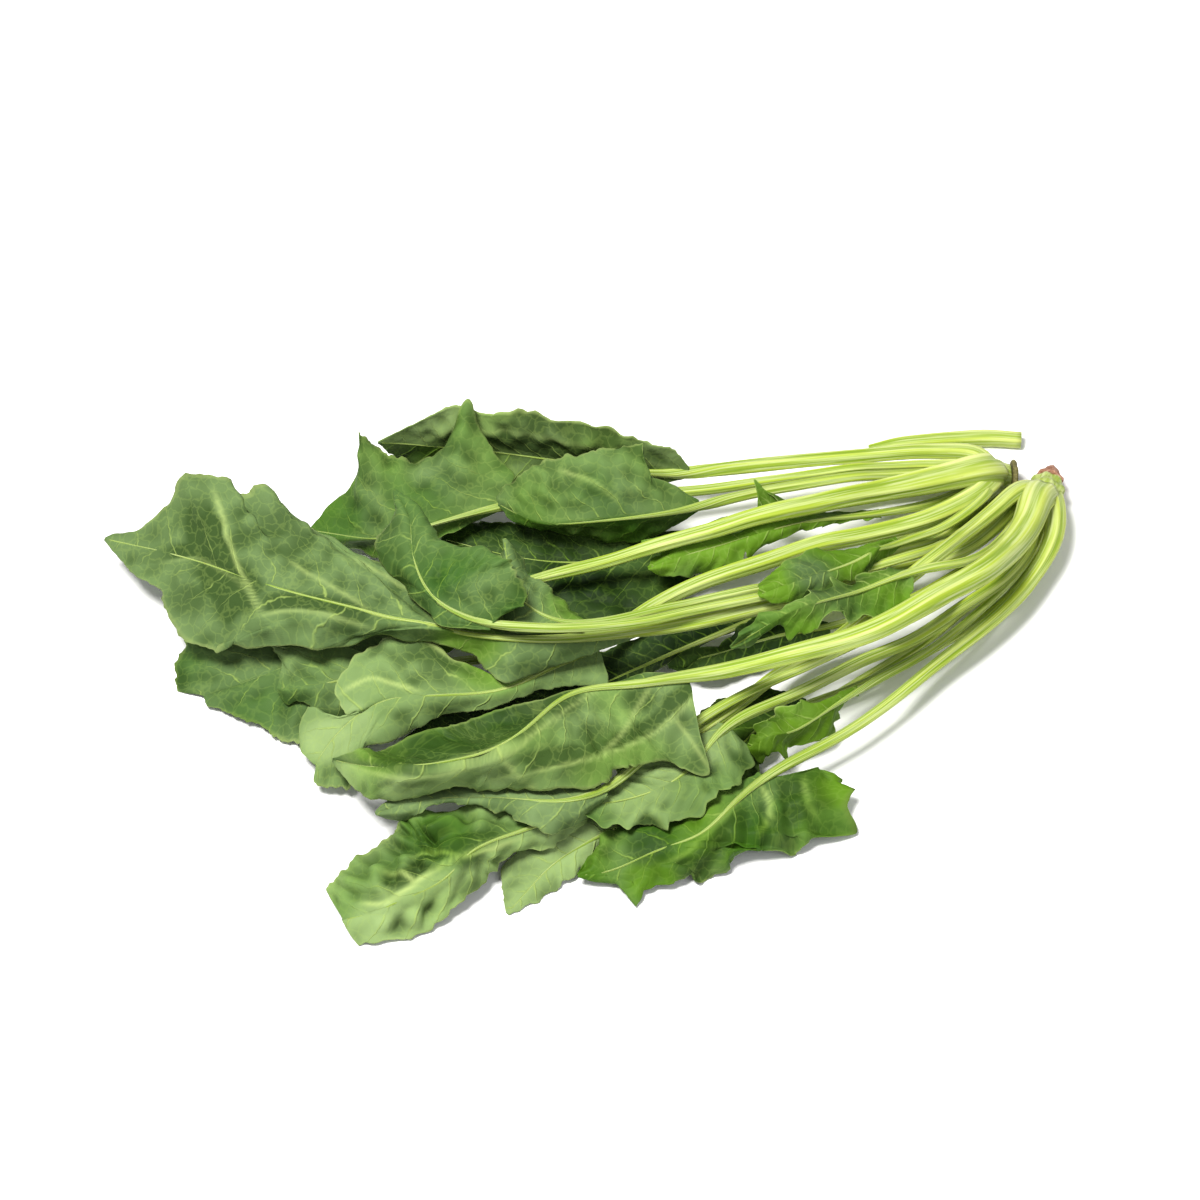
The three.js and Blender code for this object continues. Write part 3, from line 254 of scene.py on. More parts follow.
     ((-121, -81, 29), (-143, -81, 30), (-168, -73, 30), (-193, -60, 31), (-211, -55, 31), (-221, -46, 32),
      (-227, -43, 32), (-232, -36, 34), (-238, -31, 37), (-244, -34, 34), (-248, -33, 34), (-250, -28, 36),
      (-262, -26, 35), (-267, -31, 29), (-275, -34, 22), (-279, -34, 18), (-286, -33, 16), (-290, -34, 14)),
     ((-123, -90, 28), (-130, -90, 26), (-143, -95, 24), (-160, -101, 23), (-170, -91, 25), (-180, -86, 25),
      (-199, -85, 25), (-214, -85, 22), (-233, -83, 20), (-248, -82, 18), (-249, -83, 16), (-256, -80, 16),
      (-260, -77, 15), (-266, -67, 14), (-270, -56, 14), (-279, -49, 13), (-285, -41, 13),
      (-290, -34, 14))),
    # Upright lobed leaf over the largest one
    ("left_upright", 1, "sage", (1.5, 1), 0.6, (0, 0), 0.4, 0.5, 0.3, 0.15, 0.05,
     ((-4, -12, 6, 3.7), (-14, -22, 7, 3.4), (-23, -32, 9, 3.4), (-40, -42, 14, 3.4), (-57, -53, 19, 3.4),
      (-80, -64, 24, 3.4), (-99, -72, 28, 3.4), (-118, -80, 30, 3.4), (-135, -86, 32, 3.4)),
     ((-135, -86, 32), (-143, -85, 33), (-151, -82, 35), (-157, -76, 38), (-159, -68, 41), (-160, -60, 44)),
     ((-134, -82, 32), (-138, -79, 32), (-145, -72, 34), (-151, -70, 37), (-155, -64, 41), (-160, -60, 44)),
     ((-143, -90, 31), (-158, -88, 32), (-167, -83, 34), (-164, -68, 38), (-161, -62, 42),
      (-160, -60, 44))),
    # Topmost leaf, with a folded ridge
    ("left_top", 1, "sage", (3, 1.5), 0.8, (0.4, 0.35), 0.7, 0.6, 0.3, 0, 0.1,
     ((-4, -17, 6, 3.2), (-15, -29, 9, 3.2), (-23, -37, 10, 3.2), (-41, -48, 15, 3.2), (-57, -57, 19, 3.2),
      (-80, -68, 24, 3.2), (-99, -76, 28, 3.2), (-118, -84, 31, 3.2), (-143, -89, 34, 3.2),
      (-163, -89, 36, 3.2)),
     ((-163, -89, 36), (-172, -86, 37), (-182, -80, 39), (-188, -66, 41), (-190, -50, 42), (-195, -39, 43)),
     ((-160, -90, 43), (-154, -88, 44), (-153, -81, 42), (-157, -69, 39), (-163, -64, 40), (-172, -63, 41),
      (-179, -61, 42), (-182, -54, 42), (-187, -46, 43), (-195, -39, 43)),
     ((-167, -90, 34), (-180, -87, 34), (-192, -73, 35), (-202, -58, 37), (-196, -47, 40), (-195, -44, 42),
      (-195, -39, 43))),
    # Small round-tipped leaf across the middle stalks
    ("small_round", 1, "sage", (1.5, 1), 1, (0.45, 0.3), 0.7, 1, 0.6, 0.1, 1.6,
     ((-5, -18, 17, 3), (-21, -35, 20, 3), (-35, -43, 22, 3)),
     ((-35, -43, 22), (-48, -54, 26), (-63, -62, 27), (-81, -68, 24)),
     ((-39, -42, 23), (-53, -51, 27), (-70, -57, 28), (-77, -61, 27), (-81, -64, 25), (-81, -68, 24)),
     ((-38, -47, 21), (-47, -57, 23), (-56, -63, 23), (-68, -69, 22), (-75, -70, 22), (-81, -68, 24))),
    # Pale low leaf at the front
    ("front_low", 2, "pale", (1.5, 1), 0.6, (0, 0), 0.4, 0.4, 0.3, 1, 0.1,
     ((14, -17, 4, 3.2), (3, -34, 4, 3.2), (-22, -64, 4, 3.2), (-58, -92, 4, 3.2), (-87, -116, 4, 3.2),
      (-118, -138, 5, 3.2)),
     ((-118, -138, 5), (-133, -148, 6), (-145, -156, 4), (-158, -171, 0.6)),
     ((-121, -136, 6), (-133, -140, 8), (-148, -145, 8), (-156, -152, 6), (-159, -155, 4), (-160, -161, 2),
      (-158, -171, 0.6)),
     ((-121, -141, 4), (-125, -143, 3), (-130, -149, 2), (-138, -158, 1.5), (-147, -165, 1),
      (-158, -171, 0.6))),
    # Leaf in the shade of the thickest stalk, coloured dark as painted shade
    ("front_dark", 2, "dark", (1, 1), 0.8, (0.9, 0.9), 0.6, 0.9, 1, 0, 0.2,
     ((16, -16, 3, 3), (12, -32, 3, 3), (3, -47, 3, 3), (-14, -64, 4, 3), (-36, -80, 5, 3),
      (-52, -90, 6, 3), (-65, -96, 7, 3)),
     ((-65, -96, 7), (-77, -103, 8), (-86, -113, 9), (-93, -124, 9), (-96, -134, 8)),
     ((-68, -93, 8), (-80, -91, 9), (-92, -96, 10), (-100, -108, 11), (-99, -121, 10), (-96, -134, 8)),
     ((-64, -99, 6), (-73, -108, 6), (-79, -116, 7), (-84, -127, 7), (-89, -132, 7), (-96, -134, 8))),
    # Many-lobed leaf on the long outer stalk
    ("front_lobed", 2, "sage", (1, 1), 1, (0.65, 0.65), 0.7, 0.8, 2.4, 0.25, 0.45,
     ((18, -14, 10, 6.3), (18, -24, 10, 6), (15, -35, 10, 5.5), (6, -51, 10, 5.1), (-5, -65, 11, 4.6),
      (-24, -83, 11, 3.9), (-50, -108, 12, 3.4), (-80, -128, 12, 3.4)),
     ((-80, -128, 12), (-91, -140, 12), (-100, -149, 10), (-115, -154, 8), (-127, -158, 4),
      (-137, -158, 1.5)),
     ((-85, -127, 13), (-94, -132, 12), (-103, -136, 11), (-118, -141, 10), (-130, -149, 8),
      (-137, -158, 1.5)),
     ((-77, -130, 11), (-69, -125, 10), (-62, -122, 8), (-55, -124, 5), (-59, -134, 6), (-54, -142, 1),
      (-63, -146, 4), (-70, -149, 1), (-80, -152, 5), (-84, -151, 6), (-95, -159, 1), (-101, -159, 4),
      (-113, -163, 2), (-121, -167, 0.6), (-120, -162, 4), (-130, -161, 1.5), (-137, -158, 1.5))),
    # Crinkled leaf at the front left
    ("front_crinkled", 2, "pale", (2.5, 1), 1.2, (0.3, 0), 2, 0.1, 0.3, 0.9, 0.2,
     ((8, -11, 13, 5.3), (-4, -25, 16, 4.8), (-23, -46, 18, 4.8), (-35, -56, 15, 4.8), (-51, -69, 10, 4.6),
      (-74, -86, 9, 4.4), (-90, -102, 10, 4.1), (-112, -120, 9, 3.9), (-130, -135, 9, 3.7)),
     ((-130, -135, 9), (-152, -149, 13), (-169, -159, 16), (-176, -167, 13), (-189, -172, 9),
      (-199, -175, 6), (-207, -175, 3)),
     ((-133, -132, 10), (-152, -137, 12), (-170, -140, 14), (-180, -143, 15), (-189, -143, 14),
      (-194, -148, 12), (-202, -154, 9), (-208, -160, 6), (-212, -164, 2), (-207, -175, 3)),
     ((-130, -140, 8), (-140, -148, 7), (-148, -153, 6), (-156, -154, 8), (-163, -160, 7), (-168, -166, 5),
      (-177, -174, 3), (-184, -179, 1.5), (-193, -181, 1), (-202, -182, 0.6), (-207, -175, 3))),
    # Small toothed leaf at the front right
    ("small_toothed", 2, "dark", (0.5, 1), 1, (0.2, 0.8), 0.6, 1.2, 1.6, 0.3, 1.2,
     ((14, -22, 5, 3), (8, -36, 6, 2.8), (-4, -54, 9, 2.8), (-27, -79, 12, 2.8), (-50, -96, 14, 2.8)),
     ((-50, -96, 14), (-63, -108, 16), (-74, -115, 13), (-85, -117, 9)),
     ((-53, -95, 15), (-62, -103, 18), (-72, -107, 19), (-80, -112, 17), (-84, -114, 13), (-85, -117, 9)),
     ((-51, -98, 12), (-57, -102, 12), (-56, -104, 9), (-65, -110, 8), (-72, -114, 6), (-80, -121, 6),
      (-85, -117, 9))),
    # Pale leaf with a torn edge
    ("torn_pale", 2, "pale", (0.5, 1), 1.2, (0, 0.15), 0.7, 1.2, 1.3, 0.8, 0.1,
     ((12, -16, 9, 4.8), (8, -35, 12, 4.6), (0, -48, 12, 4.4), (-16, -63, 14, 4.4), (-33, -78, 16, 4.1),
      (-49, -87, 17, 4.1), (-68, -99, 17, 3.9), (-92, -111, 15, 3.7)),
     ((-92, -111, 15), (-100, -124, 15), (-109, -133, 14), (-121, -137, 12), (-138, -139, 9)),
     ((-96, -115, 15), (-106, -119, 13), (-118, -124, 13), (-125, -127, 14), (-128, -133, 13),
      (-133, -135, 11), (-138, -139, 9)),
     ((-88, -116, 14), (-83, -121, 11), (-88, -130, 11), (-95, -137, 14), (-99, -139, 11), (-101, -142, 9),
      (-115, -145, 9), (-130, -145, 8), (-138, -139, 9))),
    # Smooth grey-green leaf over the crinkled one
    ("grey_smooth", 2, "sage", (1, 1), 0.6, (0, 0), 0.3, 0.4, 0.3, 0.3, 0,
     ((10, -17, 9, 3.2), (-1, -39, 10, 3.2), (-15, -54, 11, 3.2), (-35, -70, 12, 3.2), (-52, -79, 13, 3.2),
      (-81, -95, 13, 3.2), (-99, -108, 13, 3.2), (-115, -121, 13, 3.2), (-128, -136, 14, 3.2)),
     ((-128, -136, 14), (-142, -141, 15), (-160, -140, 16), (-179, -139, 14), (-198, -140, 8)),
     ((-130, -129, 14), (-152, -126, 15), (-174, -127, 15), (-187, -132, 13), (-193, -136, 11),
      (-198, -140, 8)),
     ((-127, -140, 13), (-137, -146, 11), (-145, -150, 10), (-153, -147, 12), (-162, -143, 15),
      (-172, -141, 15), (-180, -141, 13), (-189, -143, 8), (-198, -140, 8))),
    # Small dull leaf beside the thick stalk
    ("small_dull", 2, "sage", (0.5, 0.5), 1.2, (0.2, 0.3), 0.6, 1.4, 1.2, 0.2, 0.7,
     ((9, -15, 7, 3.4), (1, -28, 8, 3.2), (-13, -45, 12, 3.2), (-33, -53, 15, 3.2)),
     ((-33, -53, 15), (-51, -64, 18), (-71, -73, 18), (-90, -81, 12)),
     ((-38, -50, 16), (-48, -57, 19), (-62, -65, 20), (-75, -72, 18), (-85, -76, 14), (-90, -81, 12)),
     ((-30, -59, 13), (-35, -67, 12), (-48, -71, 13), (-61, -71, 14), (-67, -74, 11), (-78, -75, 12),
      (-82, -79, 11), (-90, -81, 12))),
    # Large folded leaf at the front, on the thickest stalk
    ("front_large", 2, "sage", (-4, 2), 0.6, (0.45, 0), 0.6, 0.4, 0.3, 0.42, 0.25,
     ((12, -17, 15, 9.2), (6, -34, 18, 8.7), (-8, -54, 21, 8.3), (-26, -69, 24, 7.6), (-45, -84, 27, 6.9),
      (-60, -91, 28, 6.4), (-86, -99, 29, 5.5), (-103, -103, 29, 5.1)),
     ((-103, -103, 29), (-118, -108, 31), (-133, -112, 32), (-142, -117, 32), (-151, -127, 31),
      (-159, -133, 29), (-173, -136, 27), (-189, -135, 22), (-212, -122, 12)),
     ((-106, -100, 29), (-118, -102, 28), (-143, -107, 26), (-176, -117, 23), (-197, -123, 17),
      (-212, -122, 12)),
     ((-102, -107, 28), (-100, -121, 22), (-97, -130, 14), (-105, -130, 17), (-111, -128, 19),
      (-118, -130, 19), (-125, -131, 19), (-128, -134, 15), (-135, -136, 13), (-157, -137, 14),
      (-167, -136, 16), (-175, -136, 17), (-184, -138, 13), (-192, -138, 10), (-201, -135, 9),
      (-207, -129, 10), (-212, -122, 12))),
)
LEAVES = [dict(zip(LEAF_KEYS, entry)) for entry in LEAF_TABLE]
LOOSE_STALK = ((11, 20, 2.5, 5.8), (-1, 21, 2.5, 6.2), (-16, 20, 2.5, 5.8), (-30, 19, 2, 4.6),
 (-40, 17, 1.5, 3))

# Folds and strong veins of single leaves: how high the crest stands, its width, the side that turns away
# from the light and gets painted shade (1 to the left of its run, -1 to the right, 0 none), how pale its
# line is, and its run: x, y of the floor behind it.
FOLDS = {
    "front_large": (
        # The long crest
        (2.2, 9, -1, 0.3, ((-114, -83), (-130, -86), (-140, -94), (-148, -101), (-155, -107), (-161, -110),
         (-174, -115), (-183, -118), (-192, -119), (-200, -118), (-208, -115))),
        # A side vein
        (0.8, 4, -1, 0.35, ((-87, -78), (-100, -88), (-113, -102), (-127, -110), (-143, -115),
         (-161, -119))),
        # A side vein
        (0.6, 3, 0, 0.35, ((-114, -83), (-118, -91), (-124, -103), (-130, -110))),
        # A side vein
        (0.4, 3, 0, 0.3, ((-108, -95), (-102, -105), (-96, -117))),
        # A side vein
        (0.4, 3, 0, 0.3, ((-161, -110), (-155, -119), (-149, -125))),
    ),
    "left_large": (
        # The ridge across
        (1.8, 8, 1, 0.45, ((-239, -54), (-243, -45), (-250, -27), (-254, -14), (-259, 0))),
        # A crease
        (-1.2, 4, -1, 0.15, ((-241, -49), (-248, -40), (-257, -33), (-263, -30), (-274, -32))),
        # A side vein
        (0.7, 3, 0, 0.3, ((-204, -53), (-214, -45), (-225, -37), (-232, -31))),
        # A side vein
        (0.7, 3, 0, 0.3, ((-182, -53), (-192, -44), (-202, -37), (-212, -31))),
        # The low strip
        (1.5, 5, -1, 0.3, ((-203, -60), (-217, -55), (-230, -53), (-239, -55))),
    ),
    "left_top": (
        # The ridge
        (1.8, 7, 1, 0.3, ((-163, -18), (-167, -5), (-170, 9), (-173, 22))),
        # A side vein
        (0.5, 3, 0, 0.4, ((-173, -9), (-183, 0), (-192, 11))),
    ),
    "left_pale": (
        # A side vein
        (0.6, 3, 0, 0.5, ((-162, -78), (-175, -73), (-185, -65), (-191, -58))),
        # A side vein
        (0.6, 3, 0, 0.5, ((-187, -86), (-195, -83), (-203, -81), (-212, -87))),
    ),
    "front_crinkled": (
        # A hollow
        (-2, 6, 0, 0, ((-170, -136), (-179, -140), (-188, -147), (-195, -155))),
        # The main ridge
        (1.8, 5, -1, 0.6, ((-155, -143), (-167, -147), (-179, -154), (-188, -162), (-193, -166))),
        # A side vein
        (0.8, 3, 0, 0.6, ((-173, -150), (-182, -147), (-188, -148))),
        # A side vein
        (0.8, 3, 0, 0.5, ((-185, -160), (-191, -155), (-197, -155))),
        # A side vein
        (0.8, 3, 0, 0.5, ((-189, -163), (-195, -167), (-202, -167))),
    ),
    "front_lobed": (
        # A fold
        (1.8, 6, 1, 0.4, ((-87, -128), (-97, -140), (-103, -147), (-111, -152))),
        # A fold
        (1.8, 5, -1, 0.4, ((-68, -119), (-67, -128), (-64, -136))),
        # A side vein
        (0.5, 3, 0, 0.6, ((-81, -122), (-78, -132), (-82, -142))),
    ),
    "back_folded": (
        # A side vein
        (0.6, 3, 0, 0.4, ((-124, -5), (-134, 4), (-144, 9))),
    ),
    "back_long": (
        # The rolled rim
        (2.4, 6, -1, 0.2, ((-191, 22), (-178, 29), (-157, 27), (-130, 19), (-104, 9))),
    ),
}

# Where single leaves show more of a look: the look, how much, the radius, and x, y of the floor behind.
# The darkening look is painted shade, laid where shade falls in folds and recesses.
ACCENTS = {
    "left_pale": (
        ("fresh", 0.9, 16, -164, -73), ("pale", 1, 12, -215, -105), ("pale", 0.8, 12, -209, -99),
    ),
    "left_low": (
        ("fresh", 0.9, 22, -165, -71),
    ),
    "left_upright": (
        ("fresh", 0.8, 16, -134, -49), ("upper", 0.5, 12, -117, -52), ("painted_shade", 1.35, 14, -186, -31),
        ("painted_shade", 1.25, 12, -177, -46), ("painted_shade", 1.15, 10, -163, -52),
    ),
    "front_lobed": (
        ("fresh", 1, 11, -57, -124), ("fresh", 0.9, 11, -115, -158), ("upper", 0.9, 14, -103, -143),
        ("upper", 0.8, 12, -70, -133), ("pale", 1, 9, -92, -152), ("painted_shade", 1, 9, -115, -147),
        ("painted_shade", 1, 9, -77, -140),
    ),
    "front_crinkled": (
        ("upper", 0.9, 15, -179, -142), ("pale", 1, 13, -205, -166), ("pale", 1, 10, -193, -171),
        ("painted_shade", 1.2, 8, -182, -142), ("painted_shade", 1.1, 6, -171, -149), ("painted_shade", 0.9, 5, -191, -158),
        ("painted_shade", 0.8, 6, -169, -162),
    ),
    "back_long": (
        ("pale", 0.9, 22, -184, 26), ("pale", 0.7, 16, -157, 23),
    ),
    "front_large": (
        ("fresh", 0.7, 12, -199, -111), ("painted_shade", 1.35, 9, -143, -89), ("painted_shade", 1.55, 11, -157, -96),
        ("painted_shade", 1.55, 11, -171, -103), ("painted_shade", 1.45, 9, -185, -109), ("painted_shade", 1.15, 7, -196, -111),
        ("painted_shade", 1.15, 7, -118, -89), ("painted_shade", 1.05, 7, -133, -103), ("pale", 1, 9, -208, -119),
        ("pale", 1, 9, -192, -124), ("pale", 1, 9, -177, -122), ("pale", 0.9, 9, -161, -117),
        ("fresh", 0.6, 22, -124, -117),
    ),
    "left_top": (
        ("painted_shade", 1, 12, -150, -44),
    ),
    "left_large": (
        ("painted_shade", 0.9, 8, -252, -44), ("painted_shade", 0.8, 9, -263, -48), ("painted_shade", 0.9, 6, -248, -22),
        ("fresh", 0.8, 14, -172, -65),
    ),
    "front_low": (
        ("pale", 1, 14, -147, -158),
    ),
    "grey_smooth": (
        ("painted_shade", 0.8, 9, -161, -134),
    ),
    "back_lobed": (
        ("upper", 0.8, 16, -219, -13),
    ),
}


def smooth_through(points, at, centripetal=False):
    """Catmull-Rom cubic through points, read at shares 0..1 that count the points evenly.

    Between points 1 and 2 of four neighbours the curve is the cubic with end slopes
    (p2 - p0) / 2 and (p3 - p1) / 2. The centripetal kind weighs each slope by the square root of
    the distances. Beyond both ends the last step is mirrored.
    """
    pts = np.asarray(points, float)
    ext = np.vstack([2 * pts[:1] - pts[1:2], pts, 2 * pts[-1:] - pts[-2:-1]])
    place = np.clip(at, 0, 1) * (len(pts) - 1)
    seg = np.minimum(np.floor(place).astype(int), len(pts) - 2)
    w = (place - seg)[:, None]
    p0, p1, p2, p3 = (ext[seg + k] for k in range(4))
    if centripetal:
        d0, d1, d2 = (root_distance(a, b) for a, b in ((p0, p1), (p1, p2), (p2, p3)))
        m1 = ((p1 - p0) / d0 - (p2 - p0) / (d0 + d1) + (p2 - p1) / d1) * d1
        m2 = ((p2 - p1) / d1 - (p3 - p1) / (d1 + d2) + (p3 - p2) / d2) * d1
    else:
        m1, m2 = (p2 - p0) / 2, (p3 - p1) / 2
    c2 = -3 * p1 + 3 * p2 - 2 * m1 - m2
    c3 = 2 * p1 - 2 * p2 + m1 + m2
    return p1 + m1 * w + c2 * w**2 + c3 * w**3


def root_distance(a, b):
    """The square root of the distance between points, as a column."""
    return np.sqrt(np.linalg.norm(b - a, axis=1))[:, None]


def unit(v):
    """Each vector divided by its length."""
    return v / np.maximum(np.linalg.norm(v, axis=-1, keepdims=True), 1e-12)


def smooth_step(x, low, high):
    """0 below low, 1 above high, and 3t^2 - 2t^3 between them."""
    t = np.clip((x - low) / (high - low), 0, 1)
    return t * t * (3 - 2 * t)


def run_along(points):
    """How far along a row of points each of them lies: the summed lengths of the steps."""
    return np.concatenate([[0], np.cumsum(np.linalg.norm(np.diff(points, axis=0), axis=1))])


def read_at(at, run, rows):
    """The rows of numbers that are known at the distances run, read at others in between."""
    return np.stack([np.interp(at, run, column) for column in np.asarray(rows, float).T], axis=1)


def grid_normals(grid):
    """Across a fine grid: the cross product of its steps along the rows and the columns."""
    return unit(np.cross(np.gradient(grid, axis=0), np.gradient(grid, axis=1)))


def solid_corners(name):
    """The corners of a solid, as its mesh holds them."""
    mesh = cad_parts[name].data
    flat = np.empty(3 * len(mesh.vertices), np.float32)
    mesh.vertices.foreach_get("co", flat)
    return flat.reshape(-1, 3)


def solid_shift(points, name):
    """How far each point lies forward of and above its place in the table, on its solid.

    A raised point slides only forward, so its corner of the solid has the same x. Of the corners
    with that x it is the one whose rise best agrees with its slide. A point that finds none takes
    the shift of the nearest one in the list.
    """
    off = (solid_corners(name).astype(float) / MM)[None] - points[:, None]
    misfit = np.abs(off[..., 1] + SLIDE * off[..., 2])
    fits = (np.abs(off[..., 0]) < MATCH) & (off[..., 1] < 0.1) & (off[..., 2] > -0.1)
    misfit = np.where(fits, misfit, np.inf)
    best = misfit.argmin(axis=1)
    known = np.where(misfit.min(axis=1) < MISFIT)[0]
    shift = off[np.arange(len(points)), best, 1:]
    nearest = np.abs(np.arange(len(points))[:, None] - known[None]).argmin(axis=1)
    return shift[known[nearest]]


def sheet_normals(grid):
    """Across the solid's sheet: the sum over the squares up to two places around each point.

    A square adds the cross product of its diagonals.
    """
    rows, columns = grid.shape[:2]
    diagonal = grid[1:, 1:] - grid[:-1, :-1]
    squares = np.pad(np.cross(diagonal, grid[:-1, 1:] - grid[1:, :-1]), ((2, 2), (2, 2), (0, 0)))
    return unit(sum(squares[i:i + rows, j:j + columns] for i in range(4) for j in range(4)))


def laid_out(leaf, share, across, crisp):
    """The blade's middle sheet before its lift, at shares along and from -1 to 1 across it.

    At each share a straight line runs from the midrib to each edge. It bulges by
    dome * 4 * out * (1 - out) * opening and the edge waves by
    wave * sin(2 pi d / WAVE_LENGTH) * out^2 * opening, where the opening is sin(pi * share) and
    d is the distance from the leaf's foot. crisp is how much of an edge is straight between its
    places. Both edges meet the midrib at the foot and the tip with a small width there.
    """
    rib = leaf["rib"]
    spine = smooth_through(rib, share)
    ahead = unit(smooth_through(rib, share + 0.02) - smooth_through(rib, share - 0.02))
    inner = np.clip(share, END_SHARE, 1 - END_SHARE)
    side = smooth_through(leaf["front"], inner) - smooth_through(leaf["back"], inner)
    side = unit(side - (side * ahead).sum(axis=1)[:, None] * ahead)
    grid = np.empty((len(share), len(across), 3))
    opening = np.sin(np.pi * share)
    for half, edge_name in enumerate(("back", "front")):
        listed = leaf[edge_name]
        way = 1 if half else -1
        place = share * (len(listed) - 1)
        straight = read_at(place, np.arange(len(listed)), listed)
        edge = smooth_through(listed, share) * (1 - crisp) + straight * crisp
        for end, width in ((0, FOOT_WIDTH), (-1, TIP_WIDTH)):
            near = np.clip(1 - np.abs(share - share[end]) * (len(listed) - 1), 0, 1)[:, None]
            edge = edge + (spine[end] + side[end] * way * width / 2 - edge[end]) * near
        reach = np.linalg.norm(edge - np.asarray(rib[0], float), axis=1)
        wave = np.sin(FULL_TURN * reach / WAVE_LENGTH + half)
        columns = np.where(across * way >= 0)[0]
        out = np.abs(across[columns])
        part = spine[:, None] * (1 - out[:, None]) + edge[:, None] * out[:, None]
        part[..., 2] += leaf["dome"][half] * 4 * out * (1 - out) * opening[:, None]
        part[..., 2] += leaf["wave"] * wave[:, None] * out**2 * opening[:, None]
        grid[:, columns] = part
    first = smooth_through(rib, np.array([0, 0.05]))
    grid[0] += unit(first[1] - first[0]) * JOINT_GAP
    return grid


def blade_shift(leaf):
    """The shift of the blade's solid at its own rows and columns, found on its upper face."""
    rows = max(len(leaf["back"]), len(leaf["front"]), FEWEST_ROWS)
    share = np.linspace(0, 1, rows)
    grid = laid_out(leaf, share, np.arange(-BLADE_COLUMNS, BLADE_COLUMNS + 1) / BLADE_COLUMNS, 0)
    ridge = np.zeros(grid.shape[:2])
    ridge[:, BLADE_COLUMNS] = RIB_HEIGHT * (1 - (1 - RIB_TIP_SHARE) * share)
    top = grid + sheet_normals(grid) * (BLADE_THICKNESS / 2 + ridge)[..., None]
    shift = solid_shift(top.reshape(-1, 3), leaf["name"] + "_blade")
    return shift.reshape(*grid.shape[:2], 2)


def refined(grid, rows, columns):
    """The smooth surface through a grid of pairs, read at evenly spaced places."""
    tall = smooth_through(grid.reshape(len(grid), -1), np.linspace(0, 1, rows))
    tall = tall.reshape(rows, -1, 2).transpose(1, 0, 2)
    wide = smooth_through(tall.reshape(len(tall), -1), np.linspace(0, 1, columns))
    return wide.reshape(columns, rows, 2).transpose(1, 0, 2)


def ripples(x, y, length, rng):
    """An uneven field: RIPPLE_COUNT sine waves that run in all directions, about length apart.

    Their sum is divided by the square root of half their number.
    """
    total = np.zeros(np.broadcast(x, y).shape)
    turns = rng.uniform(0, FULL_TURN, RIPPLE_COUNT)
    phases = rng.uniform(0, FULL_TURN, RIPPLE_COUNT)
    stretches = rng.uniform(0.7, 1.4, RIPPLE_COUNT)
    for turn, phase, stretch in zip(turns, phases, stretches):
        run = (x * np.cos(turn) + y * np.sin(turn)) * FULL_TURN / (length * stretch)
        total += np.sin(run + phase)
    return total / math.sqrt(RIPPLE_COUNT / 2)


def waves(x, y, kind, rng):
    """Ripples of a kind: of its length, times its strength."""
    length, strength = kind
    return ripples(x, y, length, rng) * strength


def floor_behind(points):
    """The x and y of the place on the floor that each point hides from the eye."""
    return EYE[:2] + (points[..., :2] - EYE[:2]) * (EYE[2] / (EYE[2] - points[..., 2:]))


def folded(name, sheet):
    """The folds of a leaf at each point of its sheet: their rise, their pale line, their painted shade.

    At the distance d from its run a fold rises by height * exp(-(d / width)^2), its line is
    exp(-(d / CREST_WIDTH)^2), and its painted shade, on the side turned away from the light, is smooth
    from the run to twice the width off. All three fade over the first and the last fifth of the run.
    """
    flat = floor_behind(sheet)
    rise, pale_line, shade = (np.zeros(flat.shape[:2]) for _ in range(3))
    for height, width, side, line, run in FOLDS.get(name, ()):
        path = smooth_through([(x, y, 0) for x, y in run], np.linspace(0, 1, 80))[:, :2]
        apart = np.linalg.norm(flat[:, :, None] - path, axis=3)
        near = apart.argmin(axis=2)
        d = apart.min(axis=2)
        place = near / (len(path) - 1)
        ends = np.minimum(1, 5 * np.minimum(place + 0.05, 1.05 - place))
        rise = rise + height * np.exp(-((d / width) ** 2)) * ends
        pale_line = np.maximum(pale_line, line * np.exp(-((d / CREST_WIDTH) ** 2)) * ends)
        way = np.gradient(path, axis=0)[near]
        nearest = flat - path[near]
        left = way[..., 0] * nearest[..., 1] - way[..., 1] * nearest[..., 0] > 0
        away = np.where(left, side, -side) > 0
        band = smooth_step(d, 0, width * 0.4) * (1 - smooth_step(d, width, width * 2.2))
        shade = np.maximum(shade, band * away * ends)
    return rise, pale_line, shade


def accents(name, look, sheet):
    """How much more of a look there is at each point: the accents of the leaf, softly edged."""
    flat = floor_behind(sheet)
    more = np.zeros(flat.shape[:2])
    for key, amount, radius, x, y in ACCENTS.get(name, ()):
        if key == look:
            d = np.linalg.norm(flat - np.array([x, y]), axis=2)
            more = np.maximum(more, amount * (1 - smooth_step(d, radius * 0.4, radius * 1.2)))
    return more


def grid_faces(rows, columns, start=0, flip=False):
    """Quads between neighbouring rows and columns of points numbered row by row."""
    i, j = np.meshgrid(np.arange(rows - 1), np.arange(columns - 1), indexing="ij")
    a = (start + i * columns + j).ravel()
    quads = np.stack([a, a + columns, a + columns + 1, a + 1], axis=1)
    return quads[:, ::-1] if flip else quads


def linked(made):
    """Puts an object into the scene."""
    bpy.context.scene.collection.objects.link(made)
    return made


